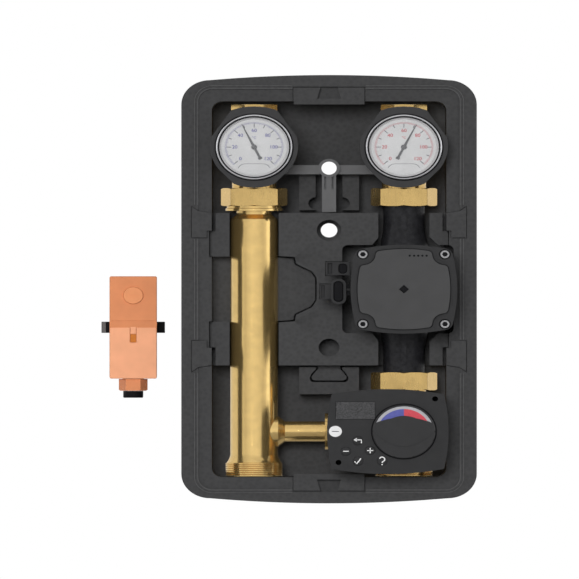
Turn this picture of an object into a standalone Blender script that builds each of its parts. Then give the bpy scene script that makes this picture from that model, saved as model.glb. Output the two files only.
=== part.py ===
"""Pumped mixing group for underfloor heating in its insulated rear shell, hung on a wall.

X runs to the right, Z runs up, and the wall is the plane Y = 0, so the front faces towards -Y.
Sizes are in millimetres and are turned into metres where a mesh is made.
"""

import math

import bmesh
import bpy
from mathutils import Vector

MM = 0.001

# Fits
GAP = 0.3
RUNNING = 0.3

# Insulated case
CASE_WIDTH = 246.6
CASE_HEIGHT = 420.5
CASE_DEPTH = 106.0
CASE_BOW = 5.0
CASE_CORNER = 24.0
BAND_DEPTH = 104.0
BAND_INSET = 14.3
WALL = 25.3
FLOOR = 28.0
LATCH_HALF = 29.5
INSERT_HALF_HEIGHT = 74.8
INSERT_FRONT = 88.0
INSERT_BACK = 36.3

# Pipework
CENTRES = 125.0
PIPE_DEPTH = 72.0
PIPE_DIAMETER = 40.0
THREAD_DIAMETER = 47.8
BORE_DIAMETER = 25.0
BYPASS_DIAMETER = 20.0
PUMP_LENGTH = 180.0
GASKET_THICK = 1.3
COLLAR_THICK = 4.0
PIPE_BOTTOM = -184.0
BYPASS_Z = -139.7

# Isolating valves
VALVE_Z = 139.5
VALVE_TOP = 181.4
BALL_DIAMETER = 36.0
NECK_DIAMETER = 37.0
SPINDLE_DIAMETER = 10.0
HANDLE_BACK = 117.0
HANDLE_FRONT = 145.0
GAUGE_DIAMETER = 63.5
GAUGE_FRONT = 153.0

# Pump
HEAD_WIDTH = 89.0
HEAD_HEIGHT = 87.3
HEAD_BOW = 3.5
HEAD_BACK = 128.0
HEAD_FRONT = 168.0
VOLUTE_DIAMETER = 80.0
ROTOR_DIAMETER = 37.4
SCREW_PITCH = 68.5
SCREW_DIAMETER = 5.0

# Controller
CONTROL_X = 49.05
CONTROL_Z = -139.8
CONTROL_WIDTH = 101.4
CONTROL_HEIGHT = 83.4
CONTROL_BACK = 112.0
CONTROL_SPLIT = 130.0
CONTROL_FRONT = 168.0
KNOB_DIAMETER = 52.6
KEY_DIAMETER = 8.4
KEYS = {"key_back": (24.0, -148.8), "key_minus": (14.1, -159.1), "key_plus": (34.3, -158.4),
        "key_ok": (24.2, -168.8), "key_help": (44.3, -168.7)}

# Contact thermostat
STAT_SPACING = 40.1
STAT_TOP = 12.7
STAT_BOTTOM = -87.8
STAT_WIDTH = 39.6
STAT_DEPTH = 45.0

CASE_HALF = CASE_WIDTH / 2
CASE_TALL = CASE_HEIGHT / 2
CAVITY_HALF = CASE_HALF - WALL
CAVITY_TALL = CASE_TALL - WALL - 0.35
THREAD_R = THREAD_DIAMETER / 2
BORE_R = BORE_DIAMETER / 2
NUT_R = (THREAD_R + 1.7) / math.cos(math.pi / 8)
BALL_R = BALL_DIAMETER / 2
POCKET_R = BALL_R + 2 * RUNNING
NECK_R = NECK_DIAMETER / 2
BODY_R = POCKET_R + 7.4
SPINDLE_R = SPINDLE_DIAMETER / 2
GAUGE_R = GAUGE_DIAMETER / 2
LEFT = -CENTRES / 2
RIGHT = CENTRES / 2
UNION_Z = PUMP_LENGTH / 2
COLLAR_Z = UNION_Z + GASKET_THICK + 2 * GAP
HALF_SCREW = SCREW_PITCH / 2
STAT_X = -CASE_HALF - STAT_SPACING


def clear_scene():
    for obj in list(bpy.data.objects):
        bpy.data.objects.remove(obj, do_unlink=True)


def material(name, colour, roughness, metallic=0.0, alpha=1.0):
    made = bpy.data.materials.new(name)
    made.use_nodes = True
    shader = made.node_tree.nodes["Principled BSDF"]
    shader.inputs["Base Color"].default_value = (*colour, 1.0)
    shader.inputs["Roughness"].default_value = roughness
    shader.inputs["Metallic"].default_value = metallic
    shader.inputs["Alpha"].default_value = alpha
    return made


def face_outwards(mesh):
    made = bmesh.new()
    made.from_mesh(mesh)
    bmesh.ops.remove_doubles(made, verts=made.verts, dist=1e-6)
    bmesh.ops.recalc_face_normals(made, faces=made.faces)
    made.to_mesh(mesh)
    made.free()


def solid(name, points, faces):
    """A closed mesh object from points in millimetres."""
    mesh = bpy.data.meshes.new(name)
    mesh.from_pydata([Vector(point) * MM for point in points], [], faces)
    face_outwards(mesh)
    obj = bpy.data.objects.new(name, mesh)
    bpy.context.collection.objects.link(obj)
    return obj


def placed(axis, across, up, along):
    """A point from its two coordinates in the section plane and the one along the axis."""
    if axis == "X":
        return (along, across, up)
    if axis == "Y":
        return (across, along, up)
    return (across, up, along)


def prism(name, outline, start, end, axis="Y"):
    """An outline pushed along an axis: (x, z) for Y, (x, y) for Z and (y, z) for X."""
    count = len(outline)
    points = [placed(axis, u, v, start) for u, v in outline]
    points += [placed(axis, u, v, end) for u, v in outline]
    faces = [list(range(count)), list(range(2 * count - 1, count - 1, -1))]
    for i in range(count):
        j = (i + 1) % count
        faces.append([i, j, count + j, count + i])
    return solid(name, points, faces)


def box(name, x, y, z):
    outline = [(x[0], z[0]), (x[1], z[0]), (x[1], z[1]), (x[0], z[1])]
    return prism(name, outline, y[0], y[1])


def turned(name, profile, centre, axis="Y", steps=20):
    """A profile of (radius, position along the axis) turned about the axis through centre."""
    points = []
    rings = []
    for radius, along in profile:
        if radius == 0:
            rings.append([len(points)] * steps)
            points.append(placed(axis, centre[0], centre[1], along))
            continue
        rings.append([len(points) + i for i in range(steps)])
        for i in range(steps):
            angle = 2 * math.pi * (i + 0.5) / steps
            across = centre[0] + radius * math.cos(angle)
            up = centre[1] + radius * math.sin(angle)
            points.append(placed(axis, across, up, along))
    faces = []
    for k, ring in enumerate(rings):
        other = rings[(k + 1) % len(rings)]
        if ring[0] == ring[1] and other[0] == other[1]:
            continue
        for i in range(steps):
            j = (i + 1) % steps
            corners = [ring[i], ring[j], other[j], other[i]]
            faces.append(list(dict.fromkeys(corners)))
    return solid(name, points, faces)


def rod(name, radius, start, end, centre, axis="Y", steps=20):
    profile = [(0, start), (radius, start), (radius, end), (0, end)]
    return turned(name, profile, centre, axis, steps)


def ring(name, inner, outer, start, end, centre, axis="Y", steps=20):
    profile = [(inner, start), (outer, start), (outer, end), (inner, end)]
    return turned(name, profile, centre, axis, steps)


def combine(obj, others, operation):
    """Joins the others to the object or cuts them from it, and takes them out of the scene."""
    for other in others:
        step = obj.modifiers.new(operation.lower(), "BOOLEAN")
        step.operation = operation
        step.solver = "EXACT"
        step.object = other
        bpy.context.view_layer.update()
        graph = bpy.context.evaluated_depsgraph_get()
        mesh = bpy.data.meshes.new_from_object(obj.evaluated_get(graph))
        obj.modifiers.remove(step)
        obj.data = mesh
        bpy.data.objects.remove(other, do_unlink=True)
        tidy(mesh)
    return obj


def tidy(mesh):
    """Merges points that a Boolean left on top of each other."""
    made = bmesh.new()
    made.from_mesh(mesh)
    bmesh.ops.remove_doubles(made, verts=made.verts, dist=2e-6)
    bmesh.ops.dissolve_degenerate(made, edges=made.edges, dist=2e-6)
    made.to_mesh(mesh)
    made.free()


def join(obj, *others):
    return combine(obj, others, "UNION")


def cut(obj, *others):
    return combine(obj, others, "DIFFERENCE")


def finish(obj, surface, smooth=True):
    obj.data.materials.clear()
    obj.data.materials.append(surface)
    if smooth:
        obj.data.shade_smooth()
        obj.data.set_sharp_from_angle(angle=math.radians(32))
    return obj


def set_origin(obj, x, y, z):
    """Moves the object's origin to a point in millimetres and leaves its mesh where it is."""
    shift = Vector((x, y, z)) * MM
    for vertex in obj.data.vertices:
        vertex.co -= shift
    obj.location = shift


def arc(centre, radius, first, last, steps):
    points = []
    for i in range(steps + 1):
        angle = math.radians(first + (last - first) * i / steps)
        points.append((centre[0] + radius * math.cos(angle), centre[1] + radius * math.sin(angle)))
    return points


def bowed(centre, half_width, half_height, bow_x, bow_z, corner, steps=6, corner_steps=4):
    """A rounded rectangle whose sides swell outwards by their bows."""
    reach_x = half_width - bow_x - corner
    reach_z = half_height - bow_z - corner
    points = []
    for quarter, (side_x, side_z) in enumerate(((1, 1), (-1, 1), (-1, -1), (1, -1))):
        corner_centre = (side_x * reach_x, side_z * reach_z)
        points += arc(corner_centre, corner, 90 * quarter, 90 * quarter + 90, corner_steps)
        for i in range(1, steps):
            t = 1 - 2 * i / steps
            if quarter % 2 == 0 and bow_z:
                points.append((side_x * t * reach_x, side_z * (half_height - bow_z * t * t)))
            elif quarter % 2 and bow_x:
                points.append((side_x * (half_width - bow_x * t * t), side_z * t * reach_z))
    return [(centre[0] + x, centre[1] + z) for x, z in points]


def rounded(centre, half_width, half_height, corner, corner_steps=4):
    return bowed(centre, half_width, half_height, 0, 0, corner, 1, corner_steps)


def mirrored(outline, across_x=False, across_z=False):
    flip_x = -1 if across_x else 1
    flip_z = -1 if across_z else 1
    return [(flip_x * x, flip_z * z) for x, z in outline]


def build_shell(foam):
    outer = bowed((0, 0), CASE_HALF, CASE_TALL, 0, CASE_BOW, CASE_CORNER, 8, 5)
    shell = prism("rear_shell", outer, 0, -CASE_DEPTH)
    band = rounded((0, 0), CASE_HALF - BAND_INSET, CASE_TALL - BAND_INSET + 0.6, 12)
    cut(shell, prism("rebate", band, -BAND_DEPTH, -CASE_DEPTH - 5))
    cavity = rounded((0, 0), CAVITY_HALF, CAVITY_TALL, 9)
    cut(shell, prism("cavity", cavity, -FLOOR, -CASE_DEPTH - 5))
    for side in (1, -1):
        near = side * (CAVITY_TALL - 3.2)
        far = side * (CAVITY_TALL + 13.2)
        join(shell, box("latch", (-LATCH_HALF, LATCH_HALF), (-70, -108), sorted((near, far))))
        notch = [(-9.9, near + 5.6 * side), (9.9, near + 5.6 * side), (7, far + side), (-7, far + side)]
        cut(shell, prism("notch", notch, -98, -110))
    add_ears(shell)
    add_panels(shell)
    for x in (LEFT, RIGHT):
        for side in (1, -1):
            start = side * (CAVITY_TALL - 9)
            cut(shell, rod("port", THREAD_R + 5, start, side * (CASE_TALL + 5), (x, -PIPE_DEPTH), "Z"))
    cut(shell, rod("wall_hole", 7, 5, -FLOOR - 5, (0, 118.8)))
    cut(shell, rod("lower_wall_hole", 6.9, 5, -FLOOR - 5, (0, 57.8)))
    pump_room = rounded((RIGHT, 0), 41.5, 43.4, 5)
    cut(shell, prism("pump_room", pump_room, -INSERT_BACK, -CASE_DEPTH - 5))
    for side in (1, -1):
        for low, high, edge in ((31.5, 57.5, -1), (43, 57.5, 1)):
            x = sorted((edge * (CAVITY_HALF - 5), edge * (CAVITY_HALF + 2.1)))
            z = sorted((side * low, side * high))
            cut(shell, box("lug_room", x, (-INSERT_FRONT + 10.5, -CASE_DEPTH - 5), z))
    return finish(shell, foam)


def add_ears(shell):
    edge = CAVITY_HALF
    ear = [(edge, 57.5), (edge + 4.1, 57.5), (edge + 4.1, 50.7), (edge + 16.4, 50.7),
           (edge + 16.4, 80.7), (edge + 11, 76.5), (edge, 74.4)]
    for flip_x in (False, True):
        for flip_z in (False, True):
            outline = mirrored(ear, flip_x, flip_z)
            join(shell, prism("ear", outline, -95, -CASE_DEPTH - 3))


def add_panels(shell):
    """Raised pads on the shell's floor above and below the insert."""
    for side in (-1, 1):
        pad = box("pad", sorted((side * 11.2, side * 25.1)), (-FLOOR + 2, -58), (77.5, 112.5))
        cut(pad, rod("pad_notch", 6, -20, -62, (side * 11.2, 84.3), steps=16))
        join(shell, pad)
    pad = box("lower_pad", (-25, 25), (-FLOOR + 2, -72), (-103.1, -76.4))
    tongue = [(-10.9, -70), (10.9, -70), (10.9, -80), (15.5, -91), (-15.5, -91), (-10.9, -80)]
    cut(pad, prism("tongue_room", tongue, -20, -92))
    join(shell, pad)


def build_insert(foam):
    """The foam block across the middle that the pump and the return pipe lie in."""
    half = CAVITY_HALF - GAP
    tall = INSERT_HALF_HEIGHT
    insert = box("middle_insert", (-half, half), (-FLOOR - GAP, -INSERT_FRONT), (-tall, tall))
    for side in (1, -1):
        for low, high, edge in ((32, 57, -1), (43.5, 57, 1)):
            x = sorted((edge * (half - 8), edge * (half + 1.7)))
            join(insert, box("lug", x, (-INSERT_FRONT + 10, -INSERT_FRONT), sorted((side * low, side * high))))
    tongue = [(-9.2, -tall + 3), (9.2, -tall + 3), (9.2, -81), (13.4, -88.7), (-13.4, -88.7), (-9.2, -81)]
    join(insert, prism("tongue", tongue, -FLOOR - GAP, -66))
    front = -INSERT_FRONT - 5
    pipe = PIPE_DIAMETER / 2 + 0.5
    cut(insert, rod("return_bed", pipe, -90, 90, (LEFT, -PIPE_DEPTH), "Z"))
    cut(insert, box("return_slot", (LEFT - pipe, LEFT + pipe), (-PIPE_DEPTH, front), (-90, 90)))
    cut(insert, box("valley", (-half - 5, LEFT), (-60, front), (-32, 32)))
    for side in (1, -1):
        for edge in (-1, 1):
            x = sorted((edge * (half - 3), edge * (half + 5)))
            cut(insert, box("relief", x, (-60, front), sorted((side * 57, side * 90))))
    room = rounded((RIGHT, 0), 51.5, 43.4, 5)
    cut(insert, prism("pump_room", room, -INSERT_BACK, front))
    cut(insert, box("neck_room", (RIGHT - 21.4, RIGHT + 21.3), (-INSERT_BACK, front), (-90, 90)))
    hexagon = [(-42.6, 32.6), (-28.6, 31.6), (-27.5, 25), (-14.3, 17.6), (-10.3, 11)]
    hexagon = [(-50, 32.6)] + hexagon + mirrored(hexagon, across_z=True)[::-1] + [(-50, -32.6)]
    cut(insert, prism("side_recess", hexagon, -INSERT_FRONT + 19, front))
    cut(insert, rod("screw_way", 6.9, -20, front, (0, 57.8), steps=16))
    cut(insert, rod("screw_seat", 10.5, -INSERT_FRONT + 4, front, (0, 57.8), steps=16))
    cut(insert, rod("blind_hole", 8.7, -INSERT_FRONT + 36, front, (0, -57.3), steps=16))
    cut(insert, box("pocket_upper", (-3.2, 30), (-INSERT_FRONT + 12, front), (13, 27.4)))
    cut(insert, box("pocket_lower", (-8, 30), (-INSERT_FRONT + 12, front), (-10.2, 5.6)))
    return finish(insert, foam)


def build_bracket(surface):
    """Clips both valves together and stands off the wall on a tube for the upper wall screw."""
    low, high = 112.8, 121.8
    bar = box("valve_bracket", (LEFT, RIGHT), (-80, -64), (low, high))
    ball_end = math.sqrt(max(0, BODY_R ** 2 - (VALVE_Z - high) ** 2))
    grip = max(NECK_R + 0.9, ball_end + 0.35)
    clip = grip + 3.7
    for x in (LEFT, RIGHT):
        join(bar, rod("clip", clip, low, high, (x, -PIPE_DEPTH), "Z"))
    for x in (LEFT, RIGHT):
        cut(bar, rod("grip", grip, low - 5, high + 5, (x, -PIPE_DEPTH), "Z"))
        cut(bar, box("mouth", (x - 14.5, x + 14.5), (-PIPE_DEPTH - 8, -130), (low - 5, high + 5)))
    join(bar, box("stem", (-5.9, 5.9), (-84, -75), (75.8, 118)))
    join(bar, rod("standoff", 9.05, -FLOOR - GAP, -86, (0, 118.8), steps=20))
    cut(bar, rod("screw_way", 6.35, -20, -90, (0, 118.8), steps=20))
    return finish(bar, surface)


def valve_sphere(radius, centre, cap, steps):
    """Arc of a ball from its lower cut to its upper cut, as (radius, z)."""
    tilt = math.acos(min(1.0, cap / radius))
    points = []
    for i in range(steps + 1):
        angle = -tilt + 2 * tilt * i / steps
        points.append((radius * math.cos(angle), centre + radius * math.sin(angle)))
    return points


def build_valve_body(name, x, brass):
    centre = (x, -PIPE_DEPTH)
    profile = [(0, COLLAR_Z), (THREAD_R - 1, COLLAR_Z), (THREAD_R - 1, COLLAR_Z + COLLAR_THICK),
               (NECK_R, COLLAR_Z + COLLAR_THICK)]
    profile += valve_sphere(BODY_R, VALVE_Z, NECK_R, 6)
    profile += [(NECK_R, VALVE_TOP - 12), (0, VALVE_TOP - 12)]
    body = turned(name, profile, centre, "Z", 20)
    end = arc(centre, 20.8, 22.5, 337.5, 7)
    join(body, prism("end", end, VALVE_TOP - 15, VALVE_TOP, "Z"))
    front = -PIPE_DEPTH - BODY_R - 6
    join(body, rod("boss", 11, -PIPE_DEPTH - BALL_R - 2, front, (x, VALVE_Z), steps=16))
    bore = [(0, COLLAR_Z - 5), (BORE_R, COLLAR_Z - 5)]
    bore += valve_sphere(POCKET_R, VALVE_Z, BORE_R, 8)
    bore += [(BORE_R, 164), (15.15, 164), (15.15, VALVE_TOP + 5), (0, VALVE_TOP + 5)]
    cut(body, turned("bore", bore, centre, "Z", 20))
    seat = -PIPE_DEPTH - BALL_R
    cut(body, rod("collar_room", 7, seat + 5, seat - 5, (x, VALVE_Z), steps=16))
    cut(body, rod("stem_way", SPINDLE_R + RUNNING, seat, front - 5, (x, VALVE_Z), steps=16))
    return finish(body, brass)


def build_ball(name, x, chrome):
    profile = valve_sphere(BALL_R, VALVE_Z, BORE_R, 8)
    ball = turned(name, profile, (x, -PIPE_DEPTH), "Z", 20)
    slot = box("slot", (x - 2.3, x + 2.3), (-PIPE_DEPTH - BALL_R + 4, -PIPE_DEPTH - BALL_R - 5),
               (VALVE_Z - BALL_R - 2, VALVE_Z + BALL_R + 2))
    cut(ball, slot)
    set_origin(ball, x, -PIPE_DEPTH, VALVE_Z)
    return finish(ball, chrome)


def build_spindle(name, x, brass):
    seat = -PIPE_DEPTH - BALL_R
    tip = -HANDLE_BACK - 6
    profile = [(0, seat - 0.4), (6.7, seat - 0.4), (6.7, seat - 4.7), (SPINDLE_R, seat - 4.7),
               (SPINDLE_R, tip), (3.3, tip), (3.3, tip + 20), (0, tip + 20)]
    spindle = turned(name, profile, (x, VALVE_Z), "Y", 20)
    join(spindle, box("tang", (x - 2, x + 2), (seat + 3.7, seat - 3), (VALVE_Z - 5, VALVE_Z + 5)))
    set_origin(spindle, x, -PIPE_DEPTH, VALVE_Z)
    return finish(spindle, brass)


def handle_outline(x):
    """Six-sided grip with a curved top and bottom, in proportion to the gauge it holds."""
    size = GAUGE_DIAMETER / 63.5
    right = [(0, 39.9), (10, 38.9), (19.1, 36.2), (27.5, 23.5), (33.6, 13.6), (35.8, 7), (36.5, 0),
             (35.9, -7), (33.6, -14.5), (28.7, -23), (17.1, -36), (9, -38.9), (0, -39.9)]
    left = [(-u, v) for u, v in right[1:-1]][::-1]
    return [(x + size * u, VALVE_Z + size * v) for u, v in right + left]


def build_handle(name, x, plastic):
    centre = (x, VALVE_Z)
    handle = prism(name, handle_outline(x), -HANDLE_BACK, -HANDLE_FRONT)
    join(handle, rod("hub", 9, -HANDLE_BACK + 9, -HANDLE_BACK - 3, centre, steps=16))
    cut(handle, rod("seat", GAUGE_R + GAP, -HANDLE_BACK - 7, -HANDLE_FRONT - 5, centre, steps=28))
    cut(handle, rod("hub_bore", SPINDLE_R + GAP, -HANDLE_BACK + 14, -HANDLE_BACK - 12, centre, steps=16))
    set_origin(handle, x, -PIPE_DEPTH, VALVE_Z)
    return finish(handle, plastic)


def build_gauge(prefix, x, surfaces):
    centre = (x, VALVE_Z)
    back = -HANDLE_BACK - 7 - GAP
    front = -GAUGE_FRONT
    step = front + 10.3
    inner = GAUGE_R - 1.5
    lip = GAUGE_R - 2.9
    case = [(0, back + 20), (3, back + 20), (3, back), (GAUGE_R, back), (GAUGE_R, front), (lip, front),
            (lip, front + 2), (inner, front + 2), (inner, step), (inner - 3, step),
            (inner - 3, back - 1.5), (0, back - 1.5)]
    finish(turned(prefix + "_gauge_case", case, centre, "Y", 28), surfaces["steel"])
    dial = ring(prefix + "_gauge_dial", 1.2, inner - GAP, step - GAP, step - 1.1, centre, "Y", 28)
    finish(dial, surfaces["white"])
    lens = rod(prefix + "_gauge_lens", inner - GAP, front + 4.0, front + 2.3, centre, "Y", 28)
    finish(lens, surfaces["glass"])
    build_pointer(prefix, x, step, surfaces)
    for part in ("case", "dial", "lens"):
        set_origin(bpy.data.objects[prefix + "_gauge_" + part], x, -PIPE_DEPTH, VALVE_Z)


def build_pointer(prefix, x, step, surfaces):
    lean = -24.7 if x < 0 else 25.3
    size = GAUGE_DIAMETER / 63.5
    outline = [(-0.5, 24.7 * size), (-0.9, 0), (-0.9, -13 * size), (0.9, -13 * size), (0.9, 0),
               (0.5, 24.7 * size)]
    turn = math.radians(-lean)
    swung = [(x + u * math.cos(turn) - v * math.sin(turn), VALVE_Z + u * math.sin(turn) + v * math.cos(turn))
             for u, v in outline]
    back = step - 1.6
    pointer = prism(prefix + "_gauge_pointer", swung, back, back - 0.8)
    join(pointer, rod("hub", 2.4, back + 0.1, back - 1.4, (x, VALVE_Z), steps=16))
    join(pointer, rod("pin", 0.8, step + 1.5, back - 0.5, (x, VALVE_Z), steps=12))
    set_origin(pointer, x, -PIPE_DEPTH, VALVE_Z)
    finish(pointer, surfaces["black"])


def build_union(prefix, x, side, surfaces):
    """A union nut and its gasket; side is 1 above the pump and -1 below it."""
    centre = (x, -PIPE_DEPTH)
    outline = arc(centre, NUT_R, 0, 315, 7)
    lip = COLLAR_Z + COLLAR_THICK + GAP
    nut = prism(prefix + "_union_nut", outline, side * (UNION_Z - 8.4), side * (lip + 3), "Z")
    thread = THREAD_R + GAP
    neck = NECK_R + 0.4
    way = [(0, UNION_Z - 12), (thread, UNION_Z - 12), (thread, lip), (neck, lip), (neck, lip + 6),
           (0, lip + 6)]
    cut(nut, turned("way", [(r, side * z) for r, z in way], centre, "Z", 24))
    finish(nut, surfaces["brass"])
    start = UNION_Z + GAP
    gasket = ring(prefix + "_union_gasket", 14, THREAD_R - 1.4, side * start,
                  side * (start + GASKET_THICK), centre, "Z", 16)
    finish(gasket, surfaces["rubber"])


def build_valve(prefix, x, surfaces):
    build_valve_body(prefix + "_valve_body", x, surfaces["brass"])
    build_ball(prefix + "_valve_ball", x, surfaces["chrome"])
    build_spindle(prefix + "_valve_spindle", x, surfaces["brass"])
    build_handle(prefix + "_valve_handle", x, surfaces["handle"])
    build_gauge(prefix, x, surfaces)
    build_union(prefix, x, 1, surfaces)


def build_pump_housing(iron):
    centre = (RIGHT, 0)
    volute_r = VOLUTE_DIAMETER / 2
    axis = (RIGHT, -PIPE_DEPTH)
    profile = [(0, -39), (volute_r - 8, -39), (volute_r, -47), (volute_r, -99), (0, -99)]
    housing = turned("pump_housing", profile, centre, "Y", 28)
    plate = rounded(centre, HALF_SCREW + 5, HALF_SCREW + 5, 6)
    join(housing, prism("plate", plate, -88, -100))
    tail = UNION_Z - 8.2
    necks = [(0, -UNION_Z), (THREAD_R, -UNION_Z), (THREAD_R, -tail), (17.2, -tail), (17.2, tail),
             (THREAD_R, tail), (THREAD_R, UNION_Z), (0, UNION_Z)]
    join(housing, turned("necks", necks, axis, "Z", 20))
    join(housing, rod("elbow", 13, -62, -5, (RIGHT, -53.5), "Z", 16))
    cut(housing, rod("chamber", 33, -66, -105, centre, steps=20))
    cut(housing, rod("eye", 9, -52, -70, centre, steps=16))
    cut(housing, rod("delivery", BORE_R, 15, UNION_Z + 5, axis, "Z", 16))
    cut(housing, rod("suction", BORE_R, -UNION_Z - 5, -46, axis, "Z", 16))
    cut(housing, rod("passage", 8.5, -58, 2, (RIGHT, -52.5), "Z", 16))
    for x, z in screw_places():
        cut(housing, rod("tapping", SCREW_DIAMETER / 2 + GAP, -80, -105, (x, z), steps=12))
    return finish(housing, iron)


def screw_places():
    return [(RIGHT + i * HALF_SCREW, k * HALF_SCREW) for k in (1, -1) for i in (-1, 1)]


def build_impeller(plastic):
    centre = (RIGHT, 0)
    hub = [(4.3, -69), (8, -69), (8, -80), (29, -80), (29, -83), (4.3, -83)]
    impeller = turned("pump_impeller", hub, centre, "Y", 20)
    for i in range(6):
        turn = 2 * math.pi * i / 6
        blade = [(7, -1), (18, -3.5), (28, -11), (28.6, -9.6), (18.6, -1.4), (7, 1)]
        swung = [(RIGHT + u * math.cos(turn) - v * math.sin(turn), u * math.sin(turn) + v * math.cos(turn))
                 for u, v in blade]
        join(impeller, prism("blade", swung, -70, -81))
    set_origin(impeller, RIGHT, -PIPE_DEPTH, 0)
    return finish(impeller, plastic)


def build_motor(surfaces):
    centre = (RIGHT, 0)
    drum = ROTOR_DIAMETER / 2
    rotor = [(0, -67), (4, -67), (4, -103.5), (drum, -103.5), (drum, -121), (4, -121), (4, -125), (0, -125)]
    rotor = turned("pump_rotor", rotor, centre, "Y", 20)
    set_origin(rotor, RIGHT, -PIPE_DEPTH, 0)
    finish(rotor, surfaces["chrome"])
    bearing = [(4.3, -86), (9, -86), (9, -90), (32.7, -90), (32.7, -98), (4.3, -98)]
    finish(turned("pump_bearing", bearing, centre, "Y", 20), surfaces["steel"])
    stator = ring("pump_stator", drum + 0.8, 34, -104, -120.5, centre, "Y", 20)
    finish(stator, surfaces["copper"])


def cover_outline(inset):
    """The front plate's outline, a bowed square with a hollow corner round each screw."""
    half_width = HEAD_WIDTH / 2 - 5.8 - inset
    half_height = HEAD_HEIGHT / 2 - 4.2 - inset
    notch = 11.3 + inset
    rise = half_height - HEAD_BOW / 2
    run = half_width - HEAD_BOW / 2
    low = math.degrees(math.asin((rise - HALF_SCREW) / notch))
    side = math.degrees(math.asin((run - HALF_SCREW) / notch))
    corner = arc((HALF_SCREW, HALF_SCREW), notch, 270 + side, 180 - low, 5)
    points = []
    for quarter, (side_x, side_z) in enumerate(((1, 1), (-1, 1), (-1, -1), (1, -1))):
        turned_corner = [(side_x * u, side_z * v) for u, v in corner]
        points += turned_corner[::-1] if quarter % 2 else turned_corner
        points.append((side_x * half_width, 0) if quarter % 2 else (0, side_z * half_height))
    return [(RIGHT + u, v) for u, v in points]


def build_pump_head(surfaces):
    centre = (RIGHT, 0)
    outline = bowed(centre, HEAD_WIDTH / 2, HEAD_HEIGHT / 2, HEAD_BOW, HEAD_BOW, 8, 6, 3)
    head = prism("pump_control_box", outline, -HEAD_BACK, -HEAD_FRONT)
    join(head, rod("motor_shell", 37.5, -100 - GAP, -HEAD_BACK - 1, centre, steps=28))
    cut(head, rod("motor_room", 34 + GAP, -95, -126, centre, steps=20))
    cut(head, prism("board_room", cover_outline(3), -131, -HEAD_FRONT - 5))
    cut(head, prism("cover_seat", cover_outline(-GAP), -164, -HEAD_FRONT - 5))
    for x, z in screw_places():
        cut(head, rod("screw_way", SCREW_DIAMETER / 2 + GAP, -90, -HEAD_FRONT - 5, (x, z), steps=12))
        cut(head, rod("head_seat", 4.6, -158, -HEAD_FRONT - 5, (x, z), steps=12))
    finish(head, surfaces["head"])
    cover = prism("pump_cover", cover_outline(0), -164 - GAP, -HEAD_FRONT - 4)
    diamond = [(RIGHT + 4.2, 0), (RIGHT, 4.2), (RIGHT - 4.2, 0), (RIGHT, -4.2)]
    cut(cover, prism("button_way", diamond, -150, -180))
    for dx in (4.8, 8.5, 11.9, 15.4, 18.9):
        cut(cover, rod("light_way", 1.0, -150, -180, (RIGHT + dx, 32.9), steps=8))
    finish(cover, surfaces["cover"])
    build_button(surfaces)
    for number, (x, z) in enumerate(screw_places(), 1):
        build_screw("pump_screw_%d" % number, x, z, surfaces["steel"])


def build_button(surfaces):
    size = 3.8
    diamond = [(RIGHT + size, 0), (RIGHT, size), (RIGHT - size, 0), (RIGHT, -size)]
    button = prism("pump_button", diamond, -162, -HEAD_FRONT - 4.4)
    flange = [(RIGHT + 6, 0), (RIGHT, 6), (RIGHT - 6, 0), (RIGHT, -6)]
    join(button, prism("flange", flange, -161.5, -164))
    set_origin(button, RIGHT, -HEAD_FRONT, 0)
    finish(button, surfaces["black"], False)


def build_screw(name, x, z, steel):
    shank = SCREW_DIAMETER / 2
    profile = [(0, -89), (shank, -89), (shank, -158.3), (4.2, -158.3), (4.2, -164.5), (2, -164.5),
               (2, -161.5), (0, -161.5)]
    finish(turned(name, profile, (x, z), "Y", 12), steel)


def build_plugs(surfaces):
    edge = RIGHT - HEAD_WIDTH / 2
    power = box("pump_power_plug", (-2.7, edge - GAP), (-134, -150), (13.6, 26.9))
    cut(power, prism("socket", rounded((11.6, 20.2), 3.6, 4.8, 3), -142, -155))
    cut(power, box("slot", (-0.9, 2.4), (-146, -155), (15, 25.5)))
    finish(power, surfaces["black"])
    signal = prism("pump_signal_plug", rounded((8, -2.3), 6.3, 12.4, 5.5), -134, -150)
    join(signal, box("tab", (-7.6, 5), (-134, -144), (-9.7, 5)))
    join(signal, box("contacts", (8, edge - GAP), (-136, -146), (-5.8, 5.1)))
    cut(signal, prism("socket", rounded((7.8, -2.3), 3.6, 9.6, 3.4), -142, -155))
    finish(signal, surfaces["black"])


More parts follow.
